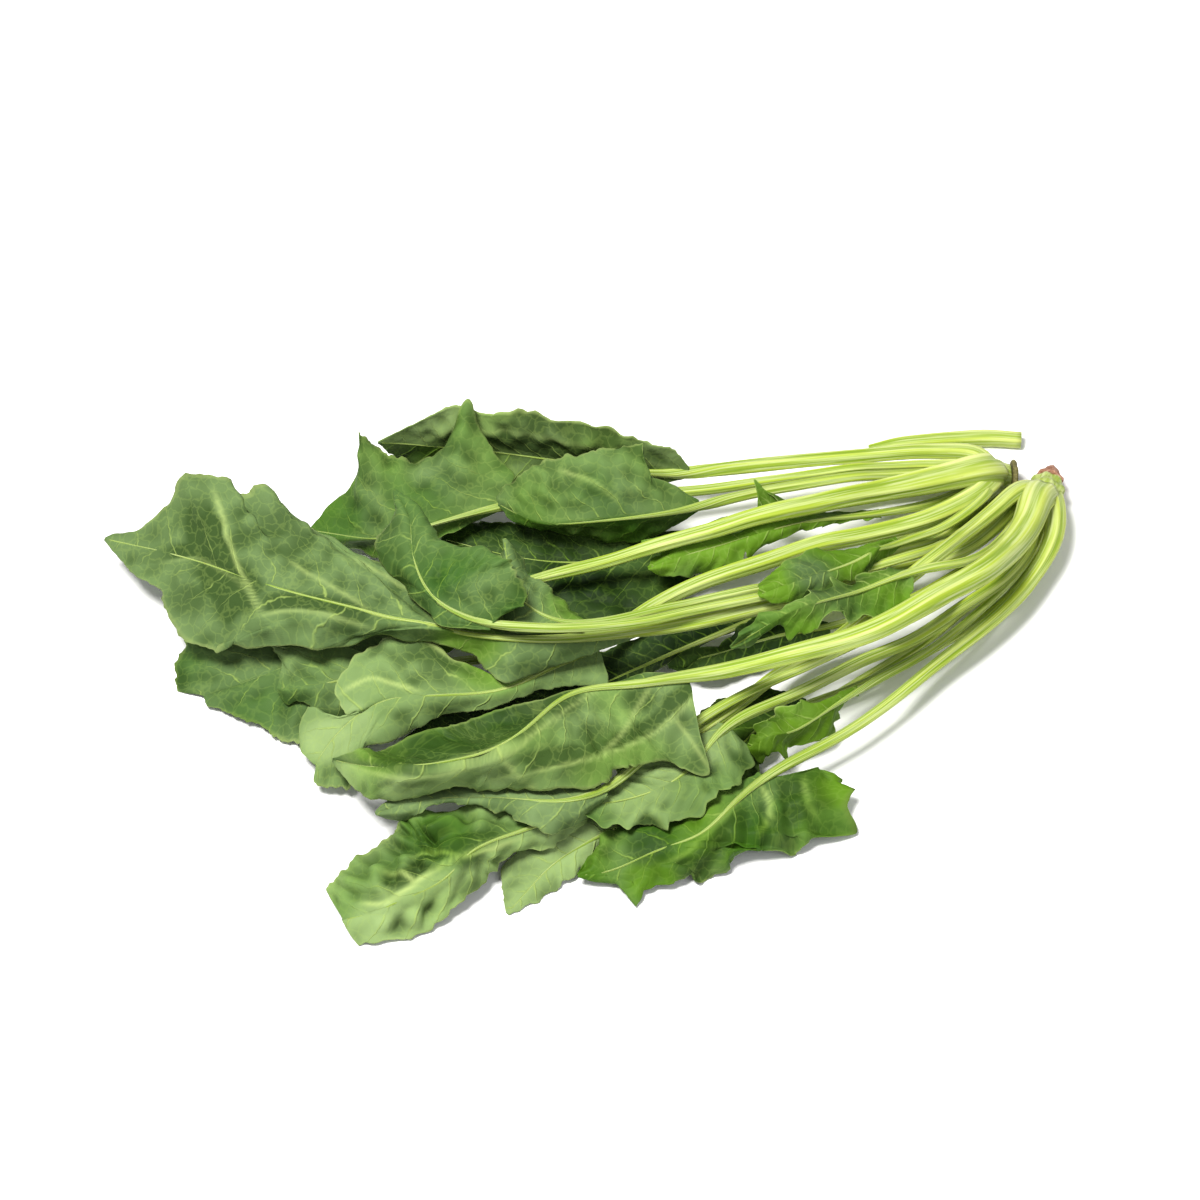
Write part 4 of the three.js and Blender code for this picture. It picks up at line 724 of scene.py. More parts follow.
def piece(name, points, faces, uv, values):
    """A mesh object at the origin from points in millimetres and arrays of faces.

    uv holds a pair of numbers for each point. values holds named numbers for each point.
    """
    mesh = bpy.data.meshes.new(name)
    mesh.vertices.add(len(points))
    mesh.vertices.foreach_set("co", (np.asarray(points) * MM).astype(np.float32).ravel())
    loops = np.concatenate([f.ravel() for f in faces]).astype(np.int32)
    sizes = np.concatenate([np.full(len(f), f.shape[1]) for f in faces])
    mesh.loops.add(len(loops))
    mesh.loops.foreach_set("vertex_index", loops)
    mesh.polygons.add(len(sizes))
    starts = np.concatenate([[0], np.cumsum(sizes)[:-1]]).astype(np.int32)
    mesh.polygons.foreach_set("loop_start", starts)
    mesh.polygons.foreach_set("use_smooth", np.full(len(sizes), True))
    mesh.update(calc_edges=True)
    layer = mesh.uv_layers.new(name="UVMap")
    layer.data.foreach_set("uv", uv[loops].astype(np.float32).ravel())
    for key, numbers in values.items():
        attribute = mesh.attributes.new(key, "FLOAT", "POINT")
        attribute.data.foreach_set("value", numbers.astype(np.float32).ravel())
    mesh.validate()
    return linked(bpy.data.objects.new(name, mesh))


def make_blade(leaf, rng):
    """The thin blade: the smooth surface through the leaf's outlines, lifted as its solid is.

    Each point knows its distance u along and v across the midrib. Side veins run where
    (u - VEIN_SWEEP |v| - VEIN_BEND v^2) / gap is whole, shifted by half a gap on one side. The
    surface sinks by pucker * sin^2 between the veins, rises and falls with ripples of several
    lengths, more towards the edge, and has the leaf's folds. Its edge is worn and toothed by
    ripples along it, which grow with the fifth power of the share across. Close to the edge the
    puckers are calmer. The under face is the upper one moved down by the sheet's thickness,
    which thins towards the edge.
    """
    columns = FINE_COLUMNS + 1
    middle = FINE_COLUMNS // 2
    share = np.linspace(0, 1, FINE_ROWS)
    sheet = laid_out(leaf, share, np.linspace(-1, 1, columns), CRISP)
    sheet[..., 1:] += refined(blade_shift(leaf), FINE_ROWS, columns)
    spine = sheet[:, middle]
    ahead = unit(np.gradient(spine, axis=0))
    away = sheet - spine[:, None]
    forward = (away * ahead[:, None]).sum(axis=2)
    u = run_along(spine)[:, None] + forward
    half = np.where(np.arange(columns) < middle, -1.0, 1.0)[None]
    v = np.linalg.norm(away - forward[..., None] * ahead[:, None], axis=2) * half
    reach = np.abs(v)
    gap = float(np.clip(np.percentile(reach, 98) * 2 * VEIN_SPACING, *VEIN_SPACING_RANGE))
    wander = waves(u, v, VEIN_WANDER, rng)
    vein = (u - VEIN_SWEEP * reach - VEIN_BEND * reach**2) / gap + 0.25 * half + wander
    share = share[:, None]
    out = np.abs(np.linspace(-1, 1, columns))[None] + 0 * share
    free = np.sin(np.pi * share) ** 0.5

    between = np.sin(np.pi * vein) ** 2
    calm = 1 - EDGE_CALM * out**5
    bulge = -leaf["pucker"] * between * smooth_step(reach, 0.5, 6) * calm
    bulge += leaf["pucker"] * waves(u, v, PUCKER_WAVES, rng) * smooth_step(reach, 1, 8) * calm
    bulge += leaf["ruffle"] * ripples(u, v, RUFFLE_LENGTH, rng) * out**3 * free
    bulge += waves(u, v, SWELLS, rng) * out * free
    rise, pale_line, shade = folded(leaf["name"], sheet)
    # Painted shade: the recesses between the puckers are coloured darker
    painted_shade = smooth_step(-bulge / (leaf["pucker"] + 0.4), -0.4, 1.6)
    normals = softened(grid_normals(sheet), 2)
    sheet = sheet + normals * ((bulge + rise) * free)[..., None]
    wear = waves(u, v, COARSE_WEAR, rng) + waves(u, v, FINE_WEAR, rng)
    teeth = np.maximum(ripples(u, 0 * v + half * 9, TEETH_LENGTH, rng), TEETH_DEEPEST)
    teeth = leaf["teeth"] * teeth * out**5
    outward = unit(sheet - sheet[:, middle][:, None])
    sheet = sheet + outward * ((wear * out**12 + teeth) * free)[..., None]
    sheet[..., 2] = np.maximum(sheet[..., 2], FINE_SHEET)

    normals = softened(grid_normals(sheet), 1)
    thin = (FINE_SHEET * (1 - EDGE_THINNING * out**6))[..., None]
    faces_up = sheet + normals * thin / 2
    faces_down = sheet - normals * thin / 2
    points = np.vstack([faces_up.reshape(-1, 3), faces_down.reshape(-1, 3)])
    points[:, 2] = np.maximum(points[:, 2], FLOOR_GAP)
    count = FINE_ROWS * columns
    faces = [
        grid_faces(FINE_ROWS, columns),
        grid_faces(FINE_ROWS, columns, count, flip=True),
        rim_faces(FINE_ROWS, columns, count),
    ]
    uv = np.stack([u.ravel(), v.ravel()], axis=1) / 100
    upper = np.where(half < 0, leaf["upper"][0], leaf["upper"][1]) + 0 * u
    upper = np.clip(upper + waves(u, v, UPPER_PATCHES, rng) * (upper > 0.05), 0, 1)
    looks = {
        "vein": vein,
        "reach": reach / np.maximum(reach.max(axis=1, keepdims=True), 4),
        "gap": np.full(u.shape, gap),
        "upper": upper,
        "pale": np.full(u.shape, leaf["pale"]),
        "fresh": np.clip(leaf["fresh"] * (1 + waves(u, v, FRESH_PATCHES, rng)), 0, 1),
        # Painted shade: recesses, the sides of folds turned away from the light and the listed spots are
        # coloured darker
        "painted_shade": np.clip(painted_shade + FOLD_SHADE * shade, 0, 1.3),
        "crest": np.maximum(pale_line, RIM_PALENESS * smooth_step(out, *RIM_SHARE) * free),
    }
    for key in ("upper", "pale", "fresh", "painted_shade"):
        looks[key] = np.maximum(looks[key], accents(leaf["name"], key, sheet))
    values = {key: np.tile(look.ravel(), 2) for key, look in looks.items()}
    made = piece(leaf["name"] + "_fine_blade", points, faces, np.tile(uv, (2, 1)), values)
    return made, sheet[:, middle], normals[:, middle]


def softened(field, rounds):
    """Each value averaged with its four neighbours, some times over, and made unit again."""
    for _ in range(rounds):
        padded = np.pad(field, ((1, 1), (1, 1), (0, 0)), mode="edge")
        around = padded[2:, 1:-1] + padded[:-2, 1:-1] + padded[1:-1, 2:] + padded[1:-1, :-2]
        field = unit(field + around)
    return field


def rim_faces(rows, columns, count):
    """Quads that join the four borders of the top grid to those of the under one."""
    loop = np.concatenate([
        np.arange(columns),
        np.arange(1, rows) * columns + columns - 1,
        (rows - 1) * columns + np.arange(columns - 2, -1, -1),
        np.arange(rows - 2, -1, -1) * columns,
    ])
    a, b = loop[:-1], loop[1:]
    return np.stack([a, b, b + count, a + count], axis=1)


def centreline(stalk, crown=None, solid=None):
    """The middle of a stalk, about every ROUND_STEP: its places, widths and distances.

    It is the smooth curve through the listed places, which starts halfway into its crown where it
    has one, and is lifted by what its solid's rings are, as far as it has such a solid.
    """
    foot = np.asarray(stalk[0], float)
    if crown:
        inside = (foot[:3] + np.asarray(crown, float)) / 2
        stalk = [[*inside, foot[3]], *stalk]
    dense = smooth_through(stalk, np.linspace(0, 1, 60 * len(stalk)), centripetal=True)
    counted = np.linspace(0, len(stalk) - 1, len(dense))
    listed_widths = np.interp(counted, np.arange(len(stalk)), [place[3] for place in stalk])
    run = run_along(dense[:, :3])
    at = np.linspace(0, run[-1], max(int(run[-1] / ROUND_STEP), 8))
    places = read_at(at, run, dense[:, :3])
    widths = np.interp(at, run, listed_widths)
    if solid:
        start, end = SHEATH_LENGTH + JOINT_GAP, run[-1] - STALK_END_GAP
        knots = np.linspace(start, end, max(2, round((end - start) / STALK_STEP)) + 1)
        shifts = ring_shifts(solid, knots, at, places, widths)
        knots = np.concatenate([[0, SHEATH_LENGTH * 0.8], knots])
        for k in range(2):
            places[:, k + 1] += np.interp(at, knots, [0, 0, *shifts[:, k]])
    return places, widths, at


def levels(points):
    """x and y + SLIDE z, which stay nearly the same when a place is raised and slides."""
    return np.stack([points[:, 0], points[:, 1] + SLIDE * points[:, 2]], axis=1)


def ring_shifts(solid, knots, at, places, widths):
    """How far forward and up the solid's rings lie at the distances knots.

    A ring's corners are looked for by their levels. The shift is to the middle between the
    outermost of them, and a ring that isn't found takes that of the one before.
    """
    level = levels(places)
    centre = read_at(knots, at, level)
    along = unit(read_at(knots + 0.5, at, level) - read_at(knots - 0.5, at, level))
    corners = np.unique(np.round(solid_corners(solid) / MM, 2), axis=0)
    corner_level = levels(corners)
    unlifted = read_at(knots, at, places[:, 1:])
    shifts = [np.zeros(2)]
    for k, knot in enumerate(knots):
        off = corner_level - centre[k]
        in_ring = np.abs(off @ along[k]) < STALK_STEP / 4
        in_ring &= np.linalg.norm(off, axis=1) < np.interp(knot, at, widths) * 0.7 + RING_SPARE
        if in_ring.any():
            ring = corners[in_ring, 1:]
            middle = (ring.max(axis=0) + ring.min(axis=0)) / 2
            shifts.append(middle - unlifted[k])
        else:
            shifts.append(shifts[-1])
    return np.array(shifts[1:])


def tube(name, places, widths, rises, distances, ribs, rng, total):
    """A ribbed tube along places, closed at both ends by rings that shrink to a point.

    Its section is an oval of the given width, STALK_FLATNESS as thick. Its radius is
    1 + ribs (cos 5b + 0.6 cos(9b + 2)) - CHANNEL_DEPTH exp(-((a - 3 pi / 2) / CHANNEL_WIDTH)^2)
    and small ripples, where a is the angle and b = a + turn, which grows slowly along the tube.
    """
    along = unit(np.gradient(places, axis=0))
    side = unit(np.cross(rises, along))
    rise = unit(np.cross(along, side))
    angle = np.linspace(0, FULL_TURN, ROUND_SIDES, endpoint=False)[None]
    turn = rng.uniform(0, FULL_TURN) + distances[:, None] * rng.uniform(-0.004, 0.004)
    ridges = np.cos(5 * (angle + turn)) + 0.6 * np.cos(9 * (angle + turn) + 2)
    channel = np.exp(-(((angle - 1.5 * np.pi) / CHANNEL_WIDTH) ** 2))
    radius = 1 + ribs * ridges - CHANNEL_DEPTH * channel
    radius = radius * (1 + waves(distances[:, None], 8 * angle, STALK_WAVES, rng))
    wide = (widths[:, None] / 2) * radius
    points = places[:, None] + side[:, None] * (wide * np.cos(angle))[..., None]
    points = points + rise[:, None] * (wide * STALK_FLATNESS * np.sin(angle))[..., None]
    points[..., 2] = np.maximum(points[..., 2], FLOOR_GAP)
    u = np.repeat(distances[:, None] / 100, ROUND_SIDES, axis=1)
    green = np.repeat(distances[:, None] / total, ROUND_SIDES, axis=1)
    return round_piece(name, points, u, angle, {"green": green, "groove": ridges / 1.6})


def round_piece(name, points, u, angle, values):
    """A closed body from rings of points: each end ring has a fan to a pole at its middle.

    Its UV map has u as given, and v is the share of a full turn. A pole has its ring's mean.
    """
    rings = len(points)
    poles = np.stack([points[0].mean(axis=0), points[-1].mean(axis=0)])
    v = np.repeat(angle / FULL_TURN, rings, axis=0)
    uv = np.stack([u.ravel(), v.ravel()], axis=1)
    uv = np.vstack([uv, [[u[0, 0], 0.5], [u[-1, 0], 0.5]]])
    values = {
        key: np.concatenate([rows.ravel(), rows[[0, -1]].mean(axis=1)])
        for key, rows in values.items()
    }
    points = np.vstack([points.reshape(-1, 3), poles])
    return piece(name, points, tube_faces(rings, ROUND_SIDES), uv, values)


def tube_faces(rings, sides):
    """Quads round a tube of rings, and a fan of triangles at each end to a pole.

    The points are numbered ring by ring, then the first pole and the last.
    """
    i, k = np.meshgrid(np.arange(rings - 1), np.arange(sides), indexing="ij")
    a = (i * sides + k).ravel()
    b = (i * sides + (k + 1) % sides).ravel()
    quads = np.stack([a, b, b + sides, a + sides], axis=1)
    k = np.arange(sides)
    after = (k + 1) % sides
    last = (rings - 1) * sides
    first_fan = np.stack([after, k, 0 * k + rings * sides], axis=1)
    last_fan = np.stack([last + k, last + after, 0 * k + rings * sides + 1], axis=1)
    return [quads, np.vstack([first_fan, last_fan])]


def evened(rows):
    """Each inner row replaced by a quarter of both its neighbours and half of itself."""
    rows[1:-1] = (rows[:-2] + 2 * rows[1:-1] + rows[2:]) / 4


def make_stalk(leaf, spine, spine_normals, rng):
    """One ribbed tube from inside the crown to the tip of the leaf: stalk, then midrib.

    At the share s along the blade the midrib is MIDRIB_TIP + (w - MIDRIB_TIP) (1 - s)^3 wide,
    where w is MIDRIB_START of the stalk's width at its end. It follows the blade's middle line
    and stands MIDRIB_STAND of its width above it. The foot widens by
    SHEATH_SPREAD exp(-d / SHEATH_FADE).
    """
    solid = leaf["name"] + "_stalk"
    places, widths, distances = centreline(leaf["stalk"], CROWNS[leaf["plant"]], solid)
    upright = np.repeat(UP[None], len(places), axis=0)
    keep = distances < distances[-1] - 3
    run = run_along(spine)
    rib_at = np.arange(2.5, run[-1] - 0.5, ROUND_STEP)
    rib = read_at(rib_at, run, spine)
    rib_normals = read_at(rib_at, run, spine_normals)
    start = widths[-1] * MIDRIB_START
    rib_widths = MIDRIB_TIP + (start - MIDRIB_TIP) * (1 - rib_at / run[-1]) ** 3
    rib = rib + unit(rib_normals) * (rib_widths * MIDRIB_STAND)[:, None]
    places = np.vstack([places[keep], rib])
    widths = np.concatenate([widths[keep], rib_widths])
    rises = np.vstack([upright[keep], rib_normals])
    for _ in range(SMOOTHINGS):
        rises[1:-1] = unit(rises[:-2] + rises[1:-1] + rises[2:])
        evened(places)
        evened(widths)
    distances = run_along(places)
    widths = widths * (1 + SHEATH_SPREAD * np.exp(-distances / SHEATH_FADE))
    name = leaf["name"] + "_fine_stalk"
    return tube(name, places, widths, rises, distances, STALK_RIBS, rng, distances[-1])


def turned(name, base, axis, profile, flutes, rng):
    """A fluted round body about an axis, with the profile's smooth radius at each distance.

    The radius is multiplied by 1 + flutes cos(7a + 0.4 sin 2a) + CROWN_WAVES, a the angle.
    """
    along = unit(np.asarray(axis, float))
    side = unit(np.cross(UP, along))
    rise = np.cross(along, side)
    smooth = smooth_through([(*place, 0) for place in profile], np.linspace(0, 1, 40))
    radius, distance = np.maximum(smooth[:, :1], 0.3), smooth[:, 1:2]
    angle = np.linspace(0, FULL_TURN, ROUND_SIDES, endpoint=False)[None]
    shape = 1 + flutes * np.cos(7 * angle + 0.4 * np.sin(2 * angle))
    wide = radius * (shape + waves(5 * angle, distance, CROWN_WAVES, rng))
    points = np.asarray(base, float) + distance[..., None] * along
    points = points + (wide * np.cos(angle))[..., None] * side
    points = points + (wide * np.sin(angle))[..., None] * rise
    points[..., 2] = np.maximum(points[..., 2], CROWN_FLOOR_GAP)
    height = np.repeat((distance - distance.min()) / np.ptp(distance), ROUND_SIDES, axis=1)
    return round_piece(name, points, height, angle, {"green": 0 * height})


def group(name, inputs, outputs):
    """A new shader node group: its tree, and the nodes of its inputs and its outputs.

    inputs gives each number's name and default, and outputs the names of the masks.
    """
    made = bpy.data.node_groups.new(name, "ShaderNodeTree")
    for label, default in inputs.items():
        socket = made.interface.new_socket(label, in_out="INPUT", socket_type="NodeSocketFloat")
        socket.default_value = default
    for label in outputs:
        made.interface.new_socket(label, in_out="OUTPUT", socket_type="NodeSocketFloat")
    given = made.nodes.new("NodeGroupInput").outputs
    return made, Graph(made), given, made.nodes.new("NodeGroupOutput").inputs


class Graph:
    """Short ways to add nodes to a tree and to join them."""

    def __init__(self, tree):
        self.tree = tree

    def add(self, kind, **settings):
        """A new node of a kind, with its settings."""
        node = self.tree.nodes.new("ShaderNode" + kind)
        for key, value in settings.items():
            setattr(node, key, value)
        return node

    def join(self, source, target):
        """A link from an output to an input."""
        self.tree.links.new(source, target)

    def fill(self, sockets, *values):
        """Links or sets the first sockets, each by its value."""
        for socket, value in zip(sockets, values):
            if isinstance(value, bpy.types.NodeSocket):
                self.join(value, socket)
            else:
                socket.default_value = value

    def math(self, kind, a, b=0.0, c=0.0, clamp=False):
        """The result of a sum, product or the like."""
        node = self.add("Math", operation=kind, use_clamp=clamp)
        self.fill(node.inputs, a, b, c)
        return node.outputs[0]

    def ramp(self, value, low, high, to_low=0.0, to_high=1.0):
        """A smooth step of value from low to high."""
        node = self.add("MapRange", interpolation_type="SMOOTHSTEP")
        self.fill(node.inputs, value, low, high, to_low, to_high)
        return node.outputs[0]

    def mix(self, share, a, b):
        """The colour a with a share of the colour b."""
        node = self.add("Mix", data_type="RGBA")
        self.fill((node.inputs[0], *node.inputs[6:8]), share, a, b)
        return node.outputs[2]

    def tint(self, base, mask, amount, colour):
        """The base colour with at most that amount of another where the mask is 1."""
        return self.mix(self.math("MULTIPLY", mask, amount), base, colour)

    def noise(self, vector, scale, detail=3.0):
        """Cloudy noise, whose finer waves are NOISE_ROUGHNESS as strong as the next broader."""
        node = self.add("TexNoise")
        sockets = [node.inputs[key] for key in ("Vector", "Scale", "Detail", "Roughness")]
        self.fill(sockets, vector, scale, detail, NOISE_ROUGHNESS)
        return node.outputs["Fac"]

    def place(self, kind="UV"):
        """Where a point lies on the piece's UV map, or on the object."""
        return self.add("TexCoord").outputs[kind]

    def stretch(self, vector, along, around):
        """A UV map scaled by two numbers."""
        scale = self.add("CombineXYZ")
        self.fill(scale.inputs, along, around, 1.0)
        node = self.add("Mapping")
        self.join(vector, node.inputs["Vector"])
        self.join(scale.outputs[0], node.inputs["Scale"])
        return node.outputs[0]

    def value(self, name):
        """The numbers that the piece has under this name."""
        return self.add("Attribute", attribute_name=name).outputs["Fac"]

    def use(self, made, **values):
        """The outputs of a group that is placed with these values."""
        node = self.add("Group", node_tree=made)
        for key, value in values.items():
            self.fill([node.inputs[key]], value)
        return node.outputs

    def bump(self, height, strength, distance):
        """The normal of a surface that a height raises by at most that distance in metres."""
        node = self.add("Bump")
        sockets = [node.inputs[key] for key in ("Height", "Strength", "Distance")]
        self.fill(sockets, height, strength, distance)
        return node.outputs[0]


def srgb(red, green, blue):
    """Linear colour of a colour given as 0..255 on a screen."""
    shares = [c / 255 for c in (red, green, blue)]
    linear = [c / 12.92 if c <= 0.04045 else ((c + 0.055) / 1.055) ** 2.4 for c in shares]
    return (*linear, 1.0)


NOISE_ROUGHNESS = 0.55
PALE_GREEN = srgb(146, 168, 110)
FRESH_GREEN = srgb(98, 138, 18)
BLOOM_GREY = srgb(118, 140, 100)
# Painted shade: this colour and the next are the dark greens that recesses and shaded fold sides are mixed
# towards
SHADE_GREEN = srgb(34, 56, 14)
UPPER_PAINTED_SHADE = srgb(14, 30, 6)
VEIN_GREEN = srgb(142, 164, 84)
CREST_GREEN = srgb(170, 188, 112)
VEIN_UPPER = srgb(112, 146, 50)
GROOVE_GREEN = srgb(96, 128, 26)
STREAK_CREAM = srgb(226, 231, 176)
STREAK_GREEN = srgb(140, 166, 52)
DOT_BROWN = srgb(150, 130, 60)


def veins_group():
    """Masks of a leaf's veins: where its side veins run, the fine net between them, its cells."""
    made, g, given, result = group(
        "Leaf veins",
        {"Line": 0.0, "Reach": 0.5, "Gap": 10.0},
        ("Side veins", "Net", "Cell"),
    )
    flat = g.place()
    wobble = g.math("SUBTRACT", g.noise(flat, 9.0, 3.0), 0.5)
    line = g.math("ADD", given["Line"], g.math("MULTIPLY", wobble, 0.75))
    off = g.math("ABSOLUTE", g.math("SUBTRACT", g.math("FRACT", line), 0.5))
    apart = g.math("MULTIPLY", g.math("SUBTRACT", 0.5, off), given["Gap"])
    side = g.ramp(apart, g.ramp(given["Reach"], 0.0, 0.9, 0.62, 0.12), 0.0)
    faded = g.ramp(given["Reach"], 0.15, 1.0, 1.0, 0.15)
    broken = g.ramp(g.noise(flat, 20.0, 2.0), 0.36, 0.56, 0.25, 1.0)
    g.join(g.math("MULTIPLY", side, g.math("MULTIPLY", faded, broken)), result["Side veins"])
    swirl = g.add("TexNoise")
    g.fill([swirl.inputs["Vector"], swirl.inputs["Scale"]], flat, 35.0)
    small = g.add("VectorMath", operation="SCALE")
    g.fill([small.inputs[0], small.inputs["Scale"]], swirl.outputs["Color"], 0.03)
    bent = g.add("VectorMath", operation="ADD")
    g.fill(bent.inputs, flat, small.outputs[0])
    cells = g.add("TexVoronoi", feature="DISTANCE_TO_EDGE")
    g.fill([cells.inputs["Vector"], cells.inputs["Scale"]], bent.outputs[0], 26.0)
    g.join(g.ramp(cells.outputs["Distance"], 0.10, 0.0), result["Net"])
    g.join(g.ramp(cells.outputs["Distance"], 0.0, 0.35), result["Cell"])
    return made


def mottle_group():
    """Uneven patches: broad ones of a few centimetres and fine grain of under a millimetre."""
    made, g, given, result = group(
        "Mottling", {"Broad": 25.0, "Fine": 900.0}, ("Patches", "Grain")
    )
    where = g.place("Object")
    g.join(g.ramp(g.noise(where, given["Broad"]), 0.3, 0.7), result["Patches"])
    g.join(g.noise(where, given["Fine"], 2.0), result["Grain"])
    return made


def streaks_group():
    """Long fine and wide streaks along a stalk, from its UV map: u runs along it, v round it."""
    made, g, given, result = group(
        "Stalk streaks",
        {"Fine along": 3.0, "Fine round": 26.0, "Wide along": 1.2, "Wide round": 7.0},
        ("Fine", "Wide"),
    )
    flat = g.place()
    for kind in ("Fine", "Wide"):
        streaks = g.stretch(flat, given[kind + " along"], given[kind + " round"])
        g.join(g.noise(streaks, 1.0, 3.0), result[kind])
    return made


def material(name, specular=0.5):
    """A new node material: its graph, the inputs of its surface shader, and itself."""
    made = bpy.data.materials.new(name)
    made.use_nodes = True
    surface = made.node_tree.nodes["Principled BSDF"].inputs
    surface["Specular IOR Level"].default_value = specular
    return Graph(made.node_tree), surface, made


def leaf_material(name, under, deep, glossy):
    """Matt grey-green underside or glossy deep green upper side, by the piece's own share, with painted
    shade: darker green in recesses and on the shaded sides of folds, and in broad random patches.
    """
    g, surface, made = material(name, 0.1)
    veins = g.use(VEINS, Line=g.value("vein"), Reach=g.value("reach"), Gap=g.value("gap"))
    mottle = g.use(MOTTLE)
    patches, grain = mottle["Patches"], mottle["Grain"]
    side, net, cell = veins["Side veins"], veins["Net"], veins["Cell"]
    crest, fresh, upper = g.value("crest"), g.value("fresh"), g.value("upper")
    # Painted shade: darker in recesses and on shaded fold sides, plus broad random patches of the leaf's
    # own darker tone
    patchy = g.math("MULTIPLY", patches, 0.35)
    shade = g.math("MULTIPLY_ADD", g.value("painted_shade"), 0.75, patchy, clamp=True)
    dull = g.tint(under, g.value("pale"), 0.8, PALE_GREEN)
    dull = g.tint(dull, grain, 0.15, BLOOM_GREY)
    dull = g.tint(dull, fresh, 0.85, FRESH_GREEN)
    dull = g.mix(shade, dull, g.mix(0.85, dull, SHADE_GREEN))
    dull = g.tint(dull, net, 0.14, VEIN_GREEN)
    dull = g.tint(dull, side, 0.6, VEIN_GREEN)
    dull = g.mix(crest, dull, CREST_GREEN)
    bright = g.tint(deep, fresh, 0.5, FRESH_GREEN)
    bright = g.mix(shade, bright, g.mix(0.6, bright, UPPER_PAINTED_SHADE))
    bright = g.tint(bright, net, 0.1, VEIN_UPPER)
    bright = g.tint(bright, side, 0.5, VEIN_UPPER)
    bright = g.mix(crest, bright, VEIN_UPPER)
    g.join(g.mix(upper, dull, bright), surface["Base Color"])
    rough = g.math("MULTIPLY_ADD", upper, -0.12 * glossy, 0.66)
    g.join(g.math("MULTIPLY_ADD", grain, 0.10, rough), surface["Roughness"])
    relief = g.math("MULTIPLY_ADD", side, 0.8, g.math("MULTIPLY", cell, 0.2))
    relief = g.math("MULTIPLY_ADD", grain, 0.05, relief)
    g.join(g.bump(relief, 0.6, 0.0006), surface["Normal"])
    return made


def stalk_material(name, foot, middle, tip):
    """Yellow-green with long streaks, paler at the crown and greener towards the blade."""
    g, surface, made = material(name, 0.15)
    streaks = g.use(STREAKS)
    grain = g.use(MOTTLE, Broad=40.0)["Grain"]
    green = g.value("green")
    base = g.mix(g.ramp(green, 0.0, 0.22), foot, middle)
    base = g.mix(g.ramp(green, 0.25, 0.95), base, tip)
    groove = g.math("SUBTRACT", 1.0, g.ramp(g.value("groove"), -0.6, 0.8))
    base = g.tint(base, groove, 0.7, GROOVE_GREEN)
    base = g.tint(base, g.ramp(streaks["Fine"], 0.42, 0.62), 0.4, STREAK_CREAM)
    base = g.tint(base, g.ramp(streaks["Wide"], 0.4, 0.65), 0.3, STREAK_GREEN)
    base = g.tint(base, g.ramp(grain, 0.66, 0.74), 0.2, DOT_BROWN)
    g.join(base, surface["Base Color"])
    g.join(g.math("MULTIPLY_ADD", grain, 0.15, 0.34), surface["Roughness"])
    relief = g.math("MULTIPLY_ADD", streaks["Wide"], 0.5, streaks["Fine"])
    g.join(g.bump(relief, 0.35, 0.0005), surface["Normal"])
    surface["Subsurface Weight"].default_value = 0.08
    surface["Subsurface Radius"].default_value = (0.004, 0.005, 0.001)
    surface["Subsurface Scale"].default_value = 0.5
    return made


def root_material(name, skin, dark, light):
    """Brown skin with darker patches and paler grain."""
    g, surface, made = material(name)
    mottle = g.use(MOTTLE, Broad=260.0, Fine=1500.0)
    patches, grain = mottle["Patches"], mottle["Grain"]
    base = g.mix(patches, skin, dark)
    g.join(g.tint(base, g.ramp(grain, 0.5, 0.7), 0.5, light), surface["Base Color"])
    g.join(g.math("MULTIPLY_ADD", grain, 0.2, 0.65), surface["Roughness"])
    relief = g.math("MULTIPLY_ADD", grain, 0.5, patches)
    g.join(g.bump(relief, 0.7, 0.0006), surface["Normal"])
    return made


VEINS = veins_group()
MOTTLE = mottle_group()
STREAKS = streaks_group()

LEAF_LOOKS = {
    "sage": leaf_material("Leaf sage", srgb(80, 104, 60), srgb(44, 82, 16), 1.0),
    # Painted shade: the dark tone is darker than the leaves' own green, partly the dark upper side and
    # partly the deep shade under and inside the bunch
    "dark": leaf_material("Leaf dark painted shade", srgb(60, 86, 40), srgb(20, 40, 8), 1.0),
    "pale": leaf_material("Leaf pale", srgb(94, 120, 66), srgb(52, 92, 20), 0.6),
}
STALK_LOOK = stalk_material("Stalk", srgb(188, 198, 96), srgb(164, 182, 60), srgb(104, 130, 34))
CROWN_LOOK = stalk_material(
    "Stalk base", srgb(158, 168, 84), srgb(156, 170, 70), srgb(148, 166, 60)
)
ROOT_LOOKS = {
    1: root_material("Cut root", srgb(104, 98, 52), srgb(60, 54, 26), srgb(150, 140, 84)),
    2: root_material("Root tip", srgb(186, 134, 106), srgb(128, 82, 60), srgb(214, 176, 150)),
}


def finish_piece(made, look, node):
    """Gives a piece its material, hides the solid it stands for, and lets it ride on the bunch."""
    made.data.materials.append(look)
    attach(made, "root")
    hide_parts(node)


rng = np.random.default_rng(7)
for leaf in LEAVES:
    name = leaf["name"]
    blade, spine, spine_normals = make_blade(leaf, rng)
    finish_piece(blade, LEAF_LOOKS[leaf["tone"]], name + "_blade")
    stalk = make_stalk(leaf, spine, spine_normals, rng)
    finish_piece(stalk, STALK_LOOK, name + "_stalk")

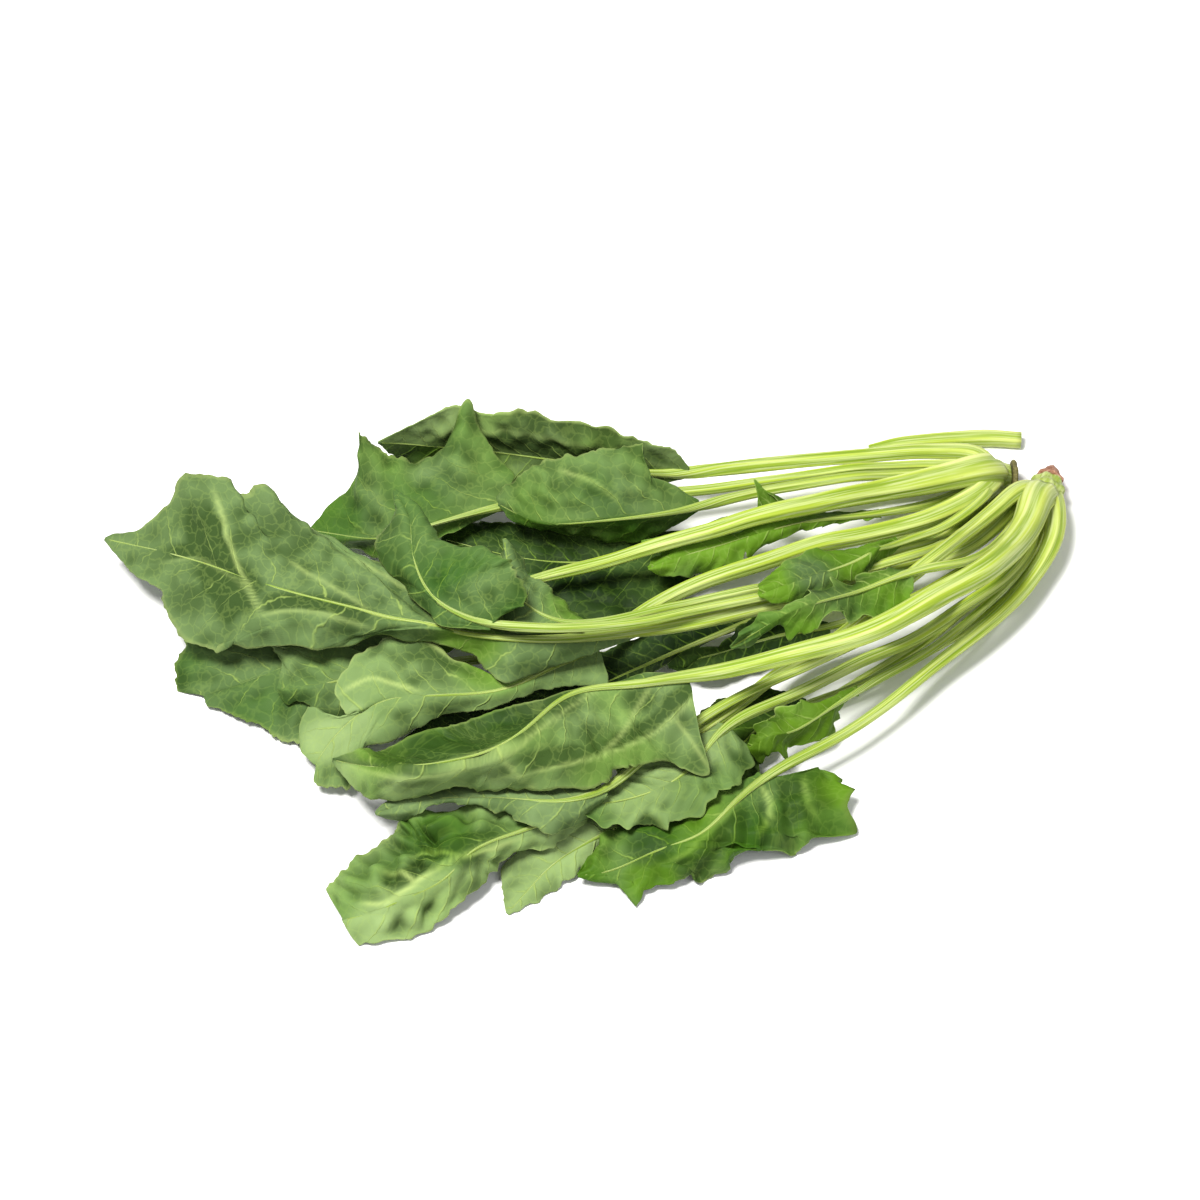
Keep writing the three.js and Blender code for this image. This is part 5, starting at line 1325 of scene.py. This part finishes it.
for number, crown in CROWNS.items():
    half = CROWN_LENGTH / 2
    plant = "plant_%d_" % number
    profile = (
        (0.5, -half),
        (ROOT_RADIUS * 0.8, -half + 0.2),
        (CROWN_RADIUS * 0.8, -half * 0.4),
        (CROWN_RADIUS * 0.95, half * 0.2),
        (CROWN_RADIUS * 0.9, half),
        (CROWN_RADIUS * 0.5, half + 5),
        (0.5, half + 7),
    )
    body = turned(plant + "fine_crown", crown, LEAFWARD[number], profile, CROWN_FLUTES, rng)
    finish_piece(body, CROWN_LOOK, plant + "crown")
    back = -np.asarray(LEAFWARD[number], float)
    end = np.asarray(crown, float) + unit(back) * (half + JOINT_GAP / 2)
    profile = ((0.5, -0.2), *ROOTS[number], (0.5, ROOTS[number][-1][1] + 0.3))
    root = turned(plant + "fine_root", end, back, profile, ROOT_FLUTES, rng)
    finish_piece(root, ROOT_LOOKS[number], plant + "root")

places, widths, distances = centreline(LOOSE_STALK)
rises = np.repeat(UP[None], len(places), axis=0)
paler = distances[-1] * 3  # a cut piece is as pale as the first third of a whole stalk
loose = tube("fine_loose_stalk", places, widths, rises, distances, LOOSE_STALK_RIBS, rng, paler)
finish_piece(loose, STALK_LOOK, "loose_stalk")


def area_light(name, place, size, power, colour):
    """A square soft light that looks at the middle of the bunch."""
    data = bpy.data.lights.new(name, "AREA")
    data.size = size
    data.energy = power
    data.color = colour
    lamp = linked(bpy.data.objects.new(name, data))
    lamp.location = place
    x, y, z = np.array(BUNCH_MIDDLE) - np.array(place)
    lamp.rotation_euler = (math.atan2(math.hypot(x, y), -z), 0, math.atan2(-x, y))


floor_mesh = bpy.data.meshes.new("floor")
corners = [(x * FLOOR_REACH, y * FLOOR_REACH, 0) for x, y in ((-1, -1), (1, -1), (1, 1), (-1, 1))]
floor_mesh.from_pydata(corners, [], [(0, 1, 2, 3)])
floor = linked(bpy.data.objects.new("floor", floor_mesh))
floor_surface, floor_look = material("Floor")[1:]
floor_surface["Base Color"].default_value = (0.93, 0.93, 0.93, 1)
floor_surface["Roughness"].default_value = 0.9
floor_mesh.materials.append(floor_look)

area_light("key", (-0.42, -0.22, 1.0), 0.32, 19, (1.0, 0.99, 0.96))
area_light("fill", (0.45, -0.7, 0.8), 0.8, 3, (0.96, 0.98, 1.0))

world = bpy.data.worlds.new("Sky")
world.use_nodes = True
sky = world.node_tree.nodes["Background"].inputs
sky["Color"].default_value = (1, 1, 1, 1)
sky["Strength"].default_value = 0.36
bpy.context.scene.world = world
bpy.context.scene.view_settings.view_transform = "Standard"

camera_data = bpy.data.cameras.new("camera")
camera_data.lens = CAMERA_LENS
camera_data.sensor_width = 36
camera_data.clip_start = 0.01
camera = linked(bpy.data.objects.new("camera", camera_data))
camera.location = CAMERA_PLACE
camera.rotation_euler = (math.radians(CAMERA_PITCH), 0, 0)
bpy.context.scene.camera = camera
